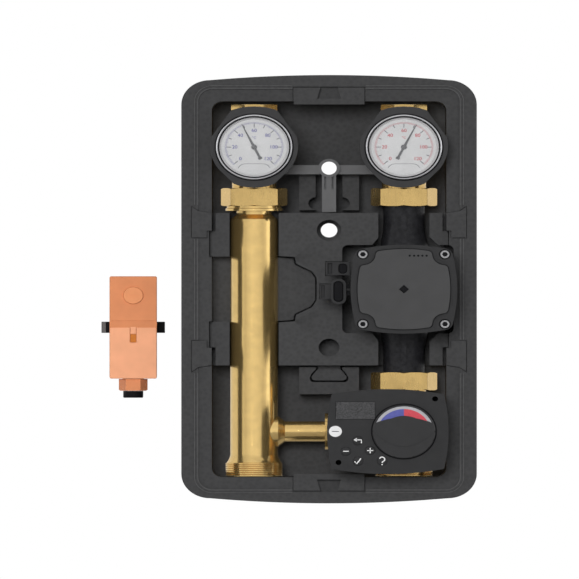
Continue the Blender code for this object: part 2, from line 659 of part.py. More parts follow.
def build_mixing_valve(surfaces):
    axis = (RIGHT, -PIPE_DEPTH)
    side = (-PIPE_DEPTH, BYPASS_Z)
    centre = (RIGHT, BYPASS_Z)
    top = -COLLAR_Z
    profile = [(0, PIPE_BOTTOM), (THREAD_R, PIPE_BOTTOM), (THREAD_R, -170.6), (19, -170.6), (19, -164),
               (26, -157), (26, -122), (NECK_R, -115), (NECK_R, top - COLLAR_THICK),
               (THREAD_R - 1, top - COLLAR_THICK), (THREAD_R - 1, top), (0, top)]
    body = turned("mixing_valve_body", profile, axis, "Z", 20)
    port = [(0, RIGHT), (15, RIGHT), (15, 6), (18, 6), (18, -3.4), (0, -3.4)]
    join(body, turned("port", port, side, "X", 20))
    join(body, rod("boss", 24, -PIPE_DEPTH, -98.6, centre, steps=20))
    cut(body, rod("chamber", 17, -54, -102, centre, steps=20))
    cut(body, rod("way", BORE_R, PIPE_BOTTOM - 5, top + 5, axis, "Z", 16))
    cut(body, rod("side_way", 8, RIGHT, -2, side, "X", 16))
    cut(body, rod("socket", BYPASS_DIAMETER / 2 + GAP, 12, -8, side, "X", 16))
    finish(body, surfaces["brass"])
    drum = [(0, -56), (16.7, -56), (16.7, -91.5), (5, -91.5), (5, -140), (0, -140)]
    rotor = turned("mixing_rotor", drum, centre, "Y", 20)
    cut(rotor, rod("way", 11.5, BYPASS_Z, BYPASS_Z + 25, axis, "Z", 16))
    cut(rotor, rod("left_way", 9.5, RIGHT, RIGHT - 25, side, "X", 16))
    cut(rotor, rod("low_way", 9.5, BYPASS_Z, BYPASS_Z - 25, axis, "Z", 16))
    set_origin(rotor, RIGHT, -PIPE_DEPTH, BYPASS_Z)
    finish(rotor, surfaces["chrome"])
    bonnet = [(5.3, -91.8), (16.7, -91.8), (16.7, -98.9), (24, -98.9), (24, -105), (12, -105), (12, -111.7),
              (5.3, -111.7)]
    finish(turned("mixing_bonnet", bonnet, centre, "Y", 20), surfaces["brass"])


def control_outline(inset):
    half_width = CONTROL_WIDTH / 2 - inset
    half_height = CONTROL_HEIGHT / 2 - inset
    return bowed((CONTROL_X, CONTROL_Z), half_width, half_height, 3.4, 4.6, 2, 6, 2)


def build_controller(surfaces):
    centre = (RIGHT, BYPASS_Z)
    base = prism("controller_base", control_outline(1), -CONTROL_BACK, -CONTROL_SPLIT)
    cut(base, prism("base_room", control_outline(4), -CONTROL_BACK - 3, -CONTROL_SPLIT - 5))
    cut(base, rod("stem_way", 6, -CONTROL_BACK + 5, -CONTROL_BACK - 8, centre, steps=16))
    finish(base, surfaces["control"])
    cover = prism("controller_cover", control_outline(0), -CONTROL_SPLIT - GAP, -CONTROL_FRONT)
    cut(cover, prism("cover_room", control_outline(3), -CONTROL_SPLIT + 5, -CONTROL_FRONT + 7))
    knob_r = KNOB_DIAMETER / 2
    cut(cover, rod("knob_well", knob_r + GAP, -CONTROL_FRONT + 3, -CONTROL_FRONT - 5, centre, steps=28))
    cut(cover, rod("knob_way", 6, -150, -180, centre, steps=16))
    cut(cover, box("display_seat", (5.2, 38.7), (-CONTROL_FRONT + 2, -CONTROL_FRONT - 5), (-127.9, -110.3)))
    for x, z in KEYS.values():
        cut(cover, rod("key_way", KEY_DIAMETER / 2 + GAP, -150, -180, (x, z), steps=12))
    for x, z in ((88.5, -107.7), (7.9, -170.1)):
        cut(cover, rod("screw_well", 2.5, -150, -180, (x, z), steps=12))
    finish(cover, surfaces["control"])
    knob = [(0, -140.4), (5, -140.4), (5, -CONTROL_FRONT + 3 - GAP), (knob_r, -CONTROL_FRONT + 3 - GAP),
            (knob_r, -CONTROL_FRONT - 7), (knob_r - 1.5, -CONTROL_FRONT - 8), (0, -CONTROL_FRONT - 8)]
    knob = turned("controller_knob", knob, centre, "Y", 28)
    set_origin(knob, RIGHT, -PIPE_DEPTH, BYPASS_Z)
    finish(knob, surfaces["knob"])
    display = box("controller_display", (5.5, 38.4), (-CONTROL_FRONT + 2 - GAP, -CONTROL_FRONT - 0.2),
                  (-127.6, -110.6))
    finish(display, surfaces["screen"], False)
    for name, (x, z) in KEYS.items():
        profile = [(0, -159.8), (5.6, -159.8), (5.6, -160.7), (KEY_DIAMETER / 2, -160.7),
                   (KEY_DIAMETER / 2, -CONTROL_FRONT - 1), (0, -CONTROL_FRONT - 1)]
        key = turned(name, profile, (x, z), "Y", 12)
        set_origin(key, x, -CONTROL_FRONT, z)
        finish(key, surfaces["control"])


def build_return_pipe(surfaces):
    axis = (LEFT, -PIPE_DEPTH)
    pipe_r = PIPE_DIAMETER / 2
    top = UNION_Z
    profile = [(THREAD_R, PIPE_BOTTOM), (THREAD_R, -170.6), (pipe_r + 2, -170.6), (pipe_r + 2, -162.8),
               (pipe_r, -162.8), (pipe_r, 68.9), (pipe_r - 2.5, 76.8), (THREAD_R, 76.8), (THREAD_R, top),
               (11, top), (11, 66), (15, 66), (15, 43), (11, 43), (11, 38), (pipe_r - 3.5, 38),
               (pipe_r - 3.5, PIPE_BOTTOM)]
    pipe = turned("return_pipe", profile, axis, "Z", 24)
    side = (-PIPE_DEPTH, BYPASS_Z)
    cut(pipe, rod("side_way", 7.5, LEFT, LEFT + pipe_r + 5, side, "X", 16))
    finish(pipe, surfaces["brass"])
    bypass_r = BYPASS_DIAMETER / 2
    bypass = [(7.5, LEFT + 8), (15.2, LEFT + 8), (15.2, LEFT + pipe_r + 1.5), (bypass_r, LEFT + pipe_r + 6.5),
              (bypass_r, 11.7), (7.5, 11.7)]
    bypass = turned("bypass_pipe", bypass, side, "X", 20)
    cut(bypass, rod("saddle", pipe_r + GAP, BYPASS_Z - 25, BYPASS_Z + 25, axis, "Z", 24))
    finish(bypass, surfaces["brass"])
    disc = [(0, 43.3), (13.4, 43.3), (13.4, 45.6), (6, 45.6), (6, 50), (0, 50)]
    disc = turned("check_valve_disc", disc, axis, "Z", 16)
    set_origin(disc, LEFT, -PIPE_DEPTH, 43.3)
    finish(disc, surfaces["black"])
    build_spring("check_valve_spring", axis, 10.5, 1.0, 47.0, 64.6, 4, surfaces["steel"])


def build_spring(name, axis, radius, wire, start, end, turns, steel):
    """A helix of round wire with closed ends."""
    steps = 10 * turns
    points = []
    faces = []
    for i in range(steps + 1):
        angle = 2 * math.pi * i / 10
        centre = start + (end - start) * i / steps
        for k in range(5):
            lean = 2 * math.pi * k / 5
            reach = radius + wire * math.cos(lean)
            points.append((axis[0] + reach * math.cos(angle), axis[1] + reach * math.sin(angle),
                           centre + wire * math.sin(lean)))
    for i in range(steps):
        for k in range(5):
            j = (k + 1) % 5
            faces.append([5 * i + k, 5 * i + j, 5 * i + 5 + j, 5 * i + 5 + k])
    faces.append(list(range(5)))
    faces.append(list(range(5 * steps, 5 * steps + 5)))
    finish(solid(name, points, faces), steel)


def build_thermostat(surfaces):
    half = STAT_WIDTH / 2
    middle = (STAT_TOP + STAT_BOTTOM) / 2
    tall = (STAT_TOP - STAT_BOTTOM) / 2
    split = 14
    base = prism("thermostat_base", rounded((STAT_X, middle), half, tall, 3, 3), 0, -split)
    strap_z = (-42.9, -31.9)
    cut(base, box("strap_way", (STAT_X - 30, STAT_X + 30), (-2, -5.6), (strap_z[0] - GAP, strap_z[1] + GAP)))
    finish(base, surfaces["orange"])
    strap = box("thermostat_strap", (STAT_X - half - 6.7, STAT_X + half + 6.7), (-2.8, -4.8), strap_z)
    finish(strap, surfaces["black"], False)
    cover = prism("thermostat_cover", rounded((STAT_X, middle), half, tall, 3, 3), -split - GAP, -STAT_DEPTH)
    cut(cover, prism("cover_room", rounded((STAT_X, middle), half - 2, tall - 2, 2, 2), -5, -STAT_DEPTH + 4))
    step_z = (STAT_BOTTOM - 5, -31.4)
    cut(cover, box("lower_step", (STAT_X - 30, STAT_X + 30), (-STAT_DEPTH + 1.5, -STAT_DEPTH - 5), step_z))
    cut(cover, rod("dial_way", 3.3, -20, -STAT_DEPTH - 5, (STAT_X, -6.1), steps=16))
    cut(cover, rod("cable_way", 9.3, STAT_BOTTOM - 5, STAT_BOTTOM + 5, (STAT_X, -29), "Z", 16))
    finish(cover, surfaces["orange"])
    dial = [(0, -36), (3, -36), (3, -STAT_DEPTH - GAP), (8.4, -STAT_DEPTH - GAP), (8.4, -STAT_DEPTH - 2.3),
            (0, -STAT_DEPTH - 2.3)]
    dial = turned("thermostat_dial", dial, (STAT_X, -6.1), "Y", 20)
    set_origin(dial, STAT_X, 0, -6.1)
    finish(dial, surfaces["orange"])
    low = STAT_BOTTOM
    gland = [(5, low + 4), (9, low + 4), (9, low - GAP), (12, low - GAP), (12, low - 11.9), (8.4, low - 11.9),
             (8.4, low - 18.8), (5, low - 18.8)]
    finish(turned("thermostat_gland", gland, (STAT_X, -29), "Z", 16), surfaces["orange"])


def make_surfaces():
    return {
        "foam": material("expanded_foam", (0.055, 0.055, 0.06), 0.9),
        "bracket": material("moulded_grey", (0.14, 0.14, 0.145), 0.6),
        "brass": material("brass", (0.78, 0.55, 0.25), 0.28, 1.0),
        "chrome": material("plated_steel", (0.75, 0.75, 0.77), 0.15, 1.0),
        "steel": material("bright_steel", (0.6, 0.6, 0.62), 0.3, 1.0),
        "copper": material("winding", (0.5, 0.22, 0.1), 0.4, 0.8),
        "handle": material("handle_plastic", (0.04, 0.04, 0.045), 0.5),
        "white": material("dial_white", (0.8, 0.8, 0.8), 0.5),
        "glass": material("clear_glass", (0.95, 0.95, 0.95), 0.05, 0.0, 0.25),
        "black": material("black_plastic", (0.012, 0.012, 0.013), 0.5),
        "rubber": material("seal_rubber", (0.02, 0.02, 0.02), 0.8),
        "iron": material("cast_iron", (0.02, 0.02, 0.022), 0.6, 0.2),
        "head": material("pump_body_plastic", (0.045, 0.045, 0.048), 0.55),
        "cover": material("pump_cover_plastic", (0.075, 0.075, 0.078), 0.45),
        "composite": material("impeller_composite", (0.55, 0.5, 0.4), 0.5),
        "control": material("control_plastic", (0.045, 0.045, 0.047), 0.5),
        "knob": material("knob_plastic", (0.05, 0.05, 0.052), 0.4),
        "screen": material("display_glass", (0.07, 0.07, 0.075), 0.15),
        "orange": material("orange_plastic", (0.8, 0.28, 0.1), 0.45),
    }


def main():
    clear_scene()
    surfaces = make_surfaces()
    build_shell(surfaces["foam"])
    build_insert(surfaces["foam"])
    build_bracket(surfaces["bracket"])
    build_valve("return", LEFT, surfaces)
    build_valve("flow", RIGHT, surfaces)
    build_union("lower", RIGHT, -1, surfaces)
    build_pump_housing(surfaces["iron"])
    build_impeller(surfaces["composite"])
    build_motor(surfaces)
    build_pump_head(surfaces)
    build_plugs(surfaces)
    build_mixing_valve(surfaces)
    build_controller(surfaces)
    build_return_pipe(surfaces)
    build_thermostat(surfaces)


main()
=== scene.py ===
"""Looks of the pumped underfloor heating manifold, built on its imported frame.

Lengths are in millimetres and turned into metres where a mesh is made. X runs right, Z up, the wall is
Y = 0 and the front faces -Y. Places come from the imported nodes' boxes.
"""

import math

import bmesh
import bpy
from mathutils import Matrix, Vector


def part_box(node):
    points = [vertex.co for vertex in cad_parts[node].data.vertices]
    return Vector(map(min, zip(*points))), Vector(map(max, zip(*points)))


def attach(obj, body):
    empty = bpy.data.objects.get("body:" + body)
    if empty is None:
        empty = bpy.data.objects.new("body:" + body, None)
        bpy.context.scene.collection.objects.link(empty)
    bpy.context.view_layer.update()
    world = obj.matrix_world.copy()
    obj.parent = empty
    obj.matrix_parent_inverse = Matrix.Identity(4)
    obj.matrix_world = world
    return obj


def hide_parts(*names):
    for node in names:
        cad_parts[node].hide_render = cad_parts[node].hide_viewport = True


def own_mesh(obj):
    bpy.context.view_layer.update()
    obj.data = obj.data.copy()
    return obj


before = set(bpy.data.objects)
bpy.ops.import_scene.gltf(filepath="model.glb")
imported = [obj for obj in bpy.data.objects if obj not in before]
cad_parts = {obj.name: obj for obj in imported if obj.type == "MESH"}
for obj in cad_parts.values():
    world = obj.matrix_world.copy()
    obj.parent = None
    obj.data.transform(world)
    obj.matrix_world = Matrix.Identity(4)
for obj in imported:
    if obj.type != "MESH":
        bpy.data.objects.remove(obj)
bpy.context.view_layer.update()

MM = 0.001
DRAFT = 1.0
PRINT = 0.15
LOOKS = {}


def low(node):
    return Vector(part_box(node)[0]) / MM


def high(node):
    return Vector(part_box(node)[1]) / MM


def middle(node):
    return (low(node) + high(node)) / 2


def facing(node):
    """The node's middle as seen from the front, as (x, z)."""
    return (middle(node).x, middle(node).z)


def depths(node):
    """The node's back and front."""
    return high(node).y, low(node).y


LEFT = round(middle("return_pipe").x, 2)
RIGHT = round(middle("pump_cover").x, 2)
PIPE_Y = round(middle("return_pipe").y, 2)
VALVE_Z = round(middle("flow_gauge_case").z, 2)
BYPASS_Z = round(middle("bypass_pipe").z, 2)
UNION_Z = high("pump_housing").z
NUT_LOW = low("flow_union_nut").z
NUT_HIGH = high("flow_union_nut").z
VALVE_TOP = high("flow_valve_body").z
COLLAR_Z = low("flow_valve_body").z
PIPE_FOOT = low("return_pipe").z
THREAD_R = 23.9
NECK_R = 18.5
COLLAR_R = 22.9
TUBE_R = 20
BORE_R = 12.5
STEM_R = 5.3
UPPER_SCREW = (0, 118.8)
LOWER_SCREW = (0, 57.8)
SCREW_HOLE_R = 6.9
SCREW_REACH = 34.25
KNOB_R = 26.3
KNOB_WELL_R = 27.5
KEY_R = 4.15
LATCH_HALF = 29.5
GROOVE = 0.9
PUMP_ROOM = 43.4


# ---------------------------------------------------------------- materials

class Look:
    """A material's node tree with short helpers for procedural detail."""

    def __init__(self, name, colour, roughness, metallic=0.0, coat=0.0, alpha=1.0, gloss=0.3):
        self.material = bpy.data.materials.new(name)
        self.material.use_nodes = True
        self.tree = self.material.node_tree
        self.shader = self.tree.nodes["Principled BSDF"]
        values = {"Base Color": (*colour, 1.0), "Roughness": roughness, "Metallic": metallic,
                  "Coat Weight": coat, "Alpha": alpha, "Specular IOR Level": gloss}
        for socket, value in values.items():
            self.shader.inputs[socket].default_value = value
        self.colour = colour
        self.roughness = roughness
        self.place = self.tree.nodes.new("ShaderNodeTexCoord")
        self.normal = None

    def add(self, kind, **values):
        node = self.tree.nodes.new(kind)
        for key, value in values.items():
            if key in node.inputs:
                node.inputs[key].default_value = value
            else:
                setattr(node, key, value)
        return node

    def link(self, output, socket):
        self.tree.links.new(output, socket)

    def mapped(self, stretch=(1, 1, 1)):
        mapping = self.add("ShaderNodeMapping")
        mapping.inputs["Scale"].default_value = stretch
        self.link(self.place.outputs["Object"], mapping.inputs["Vector"])
        return mapping.outputs["Vector"]

    def noise(self, size, detail=3.0, stretch=(1, 1, 1)):
        """Noise whose features are about size millimetres wide."""
        node = self.add("ShaderNodeTexNoise", Scale=1000 / size, Detail=detail)
        self.link(self.mapped(stretch), node.inputs["Vector"])
        return node.outputs["Fac"]

    def beads(self, size):
        node = self.add("ShaderNodeTexVoronoi", Scale=1000 / size, feature="F1")
        self.link(self.mapped(), node.inputs["Vector"])
        return node.outputs["Distance"]

    def bump(self, height, strength, depth):
        node = self.add("ShaderNodeBump", Strength=strength, Distance=depth * MM)
        self.link(height, node.inputs["Height"])
        if self.normal:
            self.link(self.normal, node.inputs["Normal"])
        self.normal = node.outputs["Normal"]
        self.link(self.normal, self.shader.inputs["Normal"])

    def vary(self, driver, amount, socket="Base Color", span=(0.3, 0.7)):
        """Darkens and lightens the colour, or shifts the roughness, by the driver."""
        ramp = self.add("ShaderNodeMapRange")
        ramp.inputs["From Min"].default_value = span[0]
        ramp.inputs["From Max"].default_value = span[1]
        self.link(driver, ramp.inputs["Value"])
        if socket == "Roughness":
            ramp.inputs["To Min"].default_value = max(0.0, self.roughness - amount)
            ramp.inputs["To Max"].default_value = min(1.0, self.roughness + amount)
            self.link(ramp.outputs["Result"], self.shader.inputs["Roughness"])
            return
        mix = self.add("ShaderNodeMix", data_type="RGBA")
        dark = [part * (1 - amount) for part in self.colour]
        light = [min(1, part * (1 + amount)) for part in self.colour]
        mix.inputs[6].default_value = (*dark, 1)
        mix.inputs[7].default_value = (*light, 1)
        self.link(ramp.outputs["Result"], mix.inputs[0])
        self.link(mix.outputs[2], self.shader.inputs["Base Color"])


def plastic(name, colour, roughness=0.5, grain=0.25, grain_size=0.5, coat=0.0, gloss=0.3):
    """Moulded plastic: spark-eroded grain, faint flow marks and uneven gloss."""
    look = Look(name, colour, roughness, coat=coat, gloss=gloss)
    look.vary(look.noise(14, 2), 0.05)
    look.vary(look.noise(5, 3), 0.06, "Roughness")
    look.bump(look.noise(grain_size, 2), grain, 0.06)
    return look.material


def metal(name, colour, roughness, stretch=(1, 1, 1), lines=0.08, blotch=0.06):
    """Turned or drawn metal: fine tool lines along the stretch and a slightly uneven polish."""
    look = Look(name, colour, roughness, 0.9, gloss=0.5)
    look.vary(look.noise(9, 3), blotch)
    look.vary(look.noise(3, 3, stretch), 0.05, "Roughness")
    look.bump(look.noise(0.8, 2, stretch), lines, 0.03)
    return look.material


def foam(name, colour):
    """Moulded bead foam: swollen beads with darker seams, steam-vent freckles and a dull skin."""
    look = Look(name, colour, 0.82, gloss=0.12)
    bead = look.beads(3.6)
    look.vary(bead, 0.08, span=(0.15, 0.75))
    look.vary(look.noise(6, 3), 0.08, "Roughness")
    look.bump(bead, 0.14, -0.2)
    look.bump(look.noise(0.7, 3), 0.2, 0.1)
    return look.material


def casting(name, colour):
    look = Look(name, colour, 0.5, 0.0)
    look.vary(look.noise(4, 4), 0.35)
    look.vary(look.noise(2.5, 3), 0.15, "Roughness")
    look.bump(look.noise(1.6, 4), 0.7, 0.35)
    return look.material


def display_film(name, colour):
    """An unlit display under its film: a fine speckle of light and dark dots."""
    look = Look(name, colour, 0.35)
    look.vary(look.noise(0.9, 2), 0.55, span=(0.35, 0.65))
    return look.material


def window_plastic(name, colour):
    look = Look(name, colour, 0.35)
    look.vary(look.noise(2, 2), 0.06)
    return look.material


def lens_glass():
    look = Look("lens_glass", (0.95, 0.96, 0.97), 0.06, alpha=0.05)
    look.vary(look.noise(20, 2), 0.02, "Roughness")
    return look.material


def make_looks():
    """Each look: the slot of the pieces that wear it, and its material."""
    return {
        "foam": ("expanded_foam", foam("foam_grey", (0.056, 0.056, 0.057))),
        "insert": ("expanded_foam", foam("foam_insert", (0.060, 0.060, 0.061))),
        "bracket": ("moulded_grey", plastic("bracket_grey", (0.115, 0.115, 0.117), 0.5)),
        # The rim lines' foam, lighter than the case: a painted highlight for the light caught on the rim's
        # edges.
        "bead": ("expanded_foam", foam("foam_painted_highlight", (0.085, 0.085, 0.086))),
        "brass": ("brass", metal("brass_turned", (0.80, 0.55, 0.21), 0.24, (1, 1, 0.2))),
        "tube": ("brass", metal("brass_tube", (0.80, 0.56, 0.22), 0.2, (1, 1, 0.02), 0.05)),
        "tube_across": ("brass", metal("brass_tube_across", (0.80, 0.56, 0.22), 0.22, (0.02, 1, 1), 0.04)),
        "chrome": ("plated_steel", metal("steel_plated", (0.75, 0.75, 0.77), 0.14)),
        "steel": ("bright_steel", metal("steel_bright", (0.45, 0.45, 0.46), 0.35)),
        "copper": ("winding", metal("copper_winding", (0.55, 0.25, 0.12), 0.35, (0.1, 0.1, 3), 0.5)),
        "handle": ("handle_plastic", plastic("handle_grey", (0.022, 0.022, 0.023), 0.34, 0.15, gloss=0.45)),
        "bezel": ("bright_steel", metal("bezel_steel", (0.62, 0.62, 0.64), 0.3)),
        "dial": ("dial_white", plastic("dial_enamel", (0.53, 0.53, 0.535), 0.45, 0.03)),
        "black": ("black_plastic", plastic("plastic_black", (0.008, 0.008, 0.009), 0.45, gloss=0.1)),
        "needle": ("black_plastic", plastic("needle_grey", (0.045, 0.045, 0.05), 0.4, 0.05)),
        "print_dark": ("dial_white", plastic("print_dark", (0.045, 0.045, 0.06), 0.5, 0.03)),
        "print_blue": ("dial_white", plastic("print_blue", (0.09, 0.085, 0.26), 0.5, 0.03)),
        "print_red": ("dial_white", plastic("print_red", (0.42, 0.06, 0.07), 0.5, 0.03)),
        "rubber": ("seal_rubber", plastic("rubber_seal", (0.02, 0.02, 0.02), 0.75, 0.4)),
        "iron": ("cast_iron", casting("iron_cast", (0.016, 0.016, 0.018))),
        "head": ("pump_body_plastic", plastic("pump_body", (0.026, 0.026, 0.027), 0.5, 0.35, 0.6)),
        "cover": ("pump_cover_plastic", plastic("pump_front", (0.054, 0.054, 0.055), 0.42, 0.25, 0.45)),
        "composite": ("impeller_composite", plastic("impeller_plastic", (0.55, 0.5, 0.4), 0.5)),
        "control": ("control_plastic", plastic("control_case", (0.026, 0.026, 0.027), 0.5, 0.3, 0.6)),
        "knob": ("knob_plastic", plastic("control_knob", (0.028, 0.028, 0.029), 0.4, 0.18)),
        "screen": ("display_glass", display_film("control_display", (0.052, 0.052, 0.054))),
        "white": ("control_plastic", plastic("icon_white", (0.80, 0.80, 0.80), 0.4, 0.03)),
        "band": ("knob_plastic", window_plastic("scale_grey", (0.42, 0.42, 0.44))),
        "blue": ("knob_plastic", window_plastic("scale_blue", (0.10, 0.11, 0.36))),
        "red": ("knob_plastic", window_plastic("scale_red", (0.60, 0.075, 0.10))),
        "orange": ("orange_plastic", plastic("case_orange", (0.72, 0.27, 0.12), 0.42, 0.15)),
        "dial_orange": ("orange_plastic", plastic("dial_orange", (0.80, 0.315, 0.14), 0.42, 0.1)),
        "peach": ("orange_plastic", plastic("cover_orange", (0.90, 0.415, 0.23), 0.4, 0.12)),
        # A lighter grey for the strap's left end: a painted sheen for the light on the strap's curve.
        "clip": ("black_plastic", plastic("strap_sheen_grey", (0.12, 0.12, 0.12), 0.35, 0.1)),
        "amber": ("orange_plastic", plastic("window_amber", (0.58, 0.18, 0.025), 0.3, 0.05)),
        "glass": ("clear_glass", lens_glass()),
    }


# ---------------------------------------------------------------- mesh tools

def solid(name, points, faces):
    mesh = bpy.data.meshes.new(name)
    mesh.from_pydata([Vector(point) * MM for point in points], [], faces)
    made = bmesh.new()
    made.from_mesh(mesh)
    bmesh.ops.remove_doubles(made, verts=made.verts, dist=1e-6)
    bmesh.ops.recalc_face_normals(made, faces=made.faces)
    made.to_mesh(mesh)
    made.free()
    obj = bpy.data.objects.new(name, mesh)
    bpy.context.scene.collection.objects.link(obj)
    return obj


def placed(axis, across, up, along):
    if axis == "X":
        return (along, across, up)
    if axis == "Y":
        return (across, along, up)
    return (across, up, along)


def prism(name, outline, start, end, axis="Y"):
    """An outline pushed along the axis from start to end."""
    count = len(outline)
    points = [placed(axis, u, v, start) for u, v in outline]
    points += [placed(axis, u, v, end) for u, v in outline]
    faces = [list(range(count)), list(range(2 * count - 1, count - 1, -1))]
    for i in range(count):
        j = (i + 1) % count
        faces.append([i, j, count + j, count + i])
    return solid(name, points, faces)


def box(name, x, y, z):
    """A block between two places along each axis, its back and front in that order."""
    left, right = sorted(x)
    foot, top = sorted(z)
    return prism(name, [(left, foot), (right, foot), (right, top), (left, top)], y[0], y[1])


def turned(name, profile, centre, axis="Y", steps=64):
    """A profile of (radius, place along the axis) turned about the axis through centre."""
    points = []
    rings = []
    for radius, along in profile:
        if radius == 0:
            rings.append([len(points)] * steps)
            points.append(placed(axis, centre[0], centre[1], along))
            continue
        rings.append([len(points) + i for i in range(steps)])
        for i in range(steps):
            angle = 2 * math.pi * (i + 0.5) / steps
            across = centre[0] + radius * math.cos(angle)
            up = centre[1] + radius * math.sin(angle)
            points.append(placed(axis, across, up, along))
    faces = []
    for k, ring in enumerate(rings):
        other = rings[(k + 1) % len(rings)]
        if ring[0] == ring[1] and other[0] == other[1]:
            continue
        for i in range(steps):
            j = (i + 1) % steps
            faces.append(list(dict.fromkeys([ring[i], ring[j], other[j], other[i]])))
    return solid(name, points, faces)


def rod(name, radius, start, end, centre, axis="Y", steps=64):
    return turned(name, [(0, start), (radius, start), (radius, end), (0, end)], centre, axis, steps)


def ring(name, inner, outer, start, end, centre, axis="Y", steps=96):
    profile = [(inner, start), (outer, start), (outer, end), (inner, end)]
    return turned(name, profile, centre, axis, steps)


def settle(obj):
    """Bakes the object's modifiers into its mesh."""
    bpy.context.view_layer.update()
    graph = bpy.context.evaluated_depsgraph_get()
    mesh = bpy.data.meshes.new_from_object(obj.evaluated_get(graph))
    obj.modifiers.clear()
    obj.data = mesh


def combine(obj, others, operation):
    """Joins or cuts the object by each of the others, and removes them."""
    for other in others:
        step = obj.modifiers.new(operation.lower(), "BOOLEAN")
        step.operation = operation
        step.solver = "EXACT"
        step.object = other
        settle(obj)
        bpy.data.objects.remove(other, do_unlink=True)
    return obj


def join(obj, *others):
    return combine(obj, others, "UNION")


def cut(obj, *others):
    return combine(obj, others, "DIFFERENCE")


def common(obj, *others):
    return combine(obj, others, "INTERSECT")


def merged(name, parts):
    """Several loose solids as one piece, for printing, ticks and other small repeated marks."""
    made = bmesh.new()
    for part in parts:
        made.from_mesh(part.data)
        bpy.data.objects.remove(part, do_unlink=True)
    mesh = bpy.data.meshes.new(name)
    made.to_mesh(mesh)
    made.free()
    obj = bpy.data.objects.new(name, mesh)
    bpy.context.scene.collection.objects.link(obj)
    return obj


def soften(obj, width, segments=2, angle=30):
    """Rounds every edge sharper than the angle and keeps the flat faces flat."""
    bevel = obj.modifiers.new("round", "BEVEL")
    bevel.width = width * MM
    bevel.segments = segments
    bevel.limit_method = "ANGLE"
    bevel.angle_limit = math.radians(angle)
    bevel.use_clamp_overlap = True
    bevel.miter_outer = "MITER_ARC"
    weights = obj.modifiers.new("flat", "WEIGHTED_NORMAL")
    weights.keep_sharp = True
    return obj


def finish(obj, body, look, *nodes, slot=None, edges=None, sharp=42):
    """Rounds a piece by its edges, gives it its look and ties it to the frame in place of the nodes."""
    if edges:
        soften(obj, *edges)
    obj.data.materials.clear()
    usual_slot, material = LOOKS[look]
    obj.data.materials.append(material)
    obj.data.shade_smooth()
    obj.data.set_sharp_from_angle(angle=math.radians(sharp))
    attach(obj, body)
    if nodes:
        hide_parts(*nodes)
    return obj


def shifted(outline, centre):
    return [(centre[0] + u, centre[1] + v) for u, v in outline]


def mirrored(outline, across=-1, up=1):
    """The outline followed by its mirror image, sideways unless told otherwise."""
    return outline + [(across * u, up * v) for u, v in outline[::-1]]


def arc(centre, radius, first, last, steps):
    points = []
    for i in range(steps + 1):
        angle = math.radians(first + (last - first) * i / steps)
        points.append((centre[0] + radius * math.cos(angle), centre[1] + radius * math.sin(angle)))
    return points


def bowed(centre, half_width, half_height, bow_x, bow_z, corner, steps=16, corner_steps=8):
    """A rounded rectangle whose sides swell outwards by their bows."""
    reach_x = half_width - bow_x - corner
    reach_z = half_height - bow_z - corner
    points = []
    for quarter, (side_x, side_z) in enumerate(((1, 1), (-1, 1), (-1, -1), (1, -1))):
        middle_of_corner = (side_x * reach_x, side_z * reach_z)
        points += arc(middle_of_corner, corner, 90 * quarter, 90 * quarter + 90, corner_steps)
        for i in range(1, steps):
            t = 1 - 2 * i / steps
            if quarter % 2 == 0 and bow_z:
                points.append((side_x * t * reach_x, side_z * (half_height - bow_z * t * t)))
            elif quarter % 2 and bow_x:
                points.append((side_x * (half_width - bow_x * t * t), side_z * t * reach_z))
    return shifted(points, centre)


def rounded(centre, half_width, half_height, corner, corner_steps=8):
    return bowed(centre, half_width, half_height, 0, 0, corner, 1, corner_steps)


def turned_about(outline, centre, degrees):
    """An outline turned clockwise as seen from the front."""
    turn = math.radians(-degrees)
    cosine = math.cos(turn)
    sine = math.sin(turn)
    return [(centre[0] + u * cosine - v * sine, centre[1] + u * sine + v * cosine) for u, v in outline]


def lettering(name, text, centre, size, front, thick=0.2):
    """Raised or printed text facing the front, its back at front + thick."""
    curve = bpy.data.curves.new(name, "FONT")
    curve.body = text
    curve.size = size * MM
    curve.extrude = thick * MM / 2
    curve.offset = size * MM * 0.018
    curve.align_x = "CENTER"
    curve.align_y = "CENTER"
    obj = bpy.data.objects.new(name, curve)
    bpy.context.scene.collection.objects.link(obj)
    bpy.context.view_layer.update()
    graph = bpy.context.evaluated_depsgraph_get()
    mesh = bpy.data.meshes.new_from_object(obj.evaluated_get(graph))
    bpy.data.objects.remove(obj, do_unlink=True)
    made = bpy.data.objects.new(name, mesh)
    bpy.context.scene.collection.objects.link(made)
    upright = Matrix.Rotation(math.radians(90), 4, "X")
    shift = Matrix.Translation(Vector((centre[0], front + thick / 2, centre[1])) * MM)
    mesh.transform(shift @ upright)
    return made


# ---------------------------------------------------------------- case

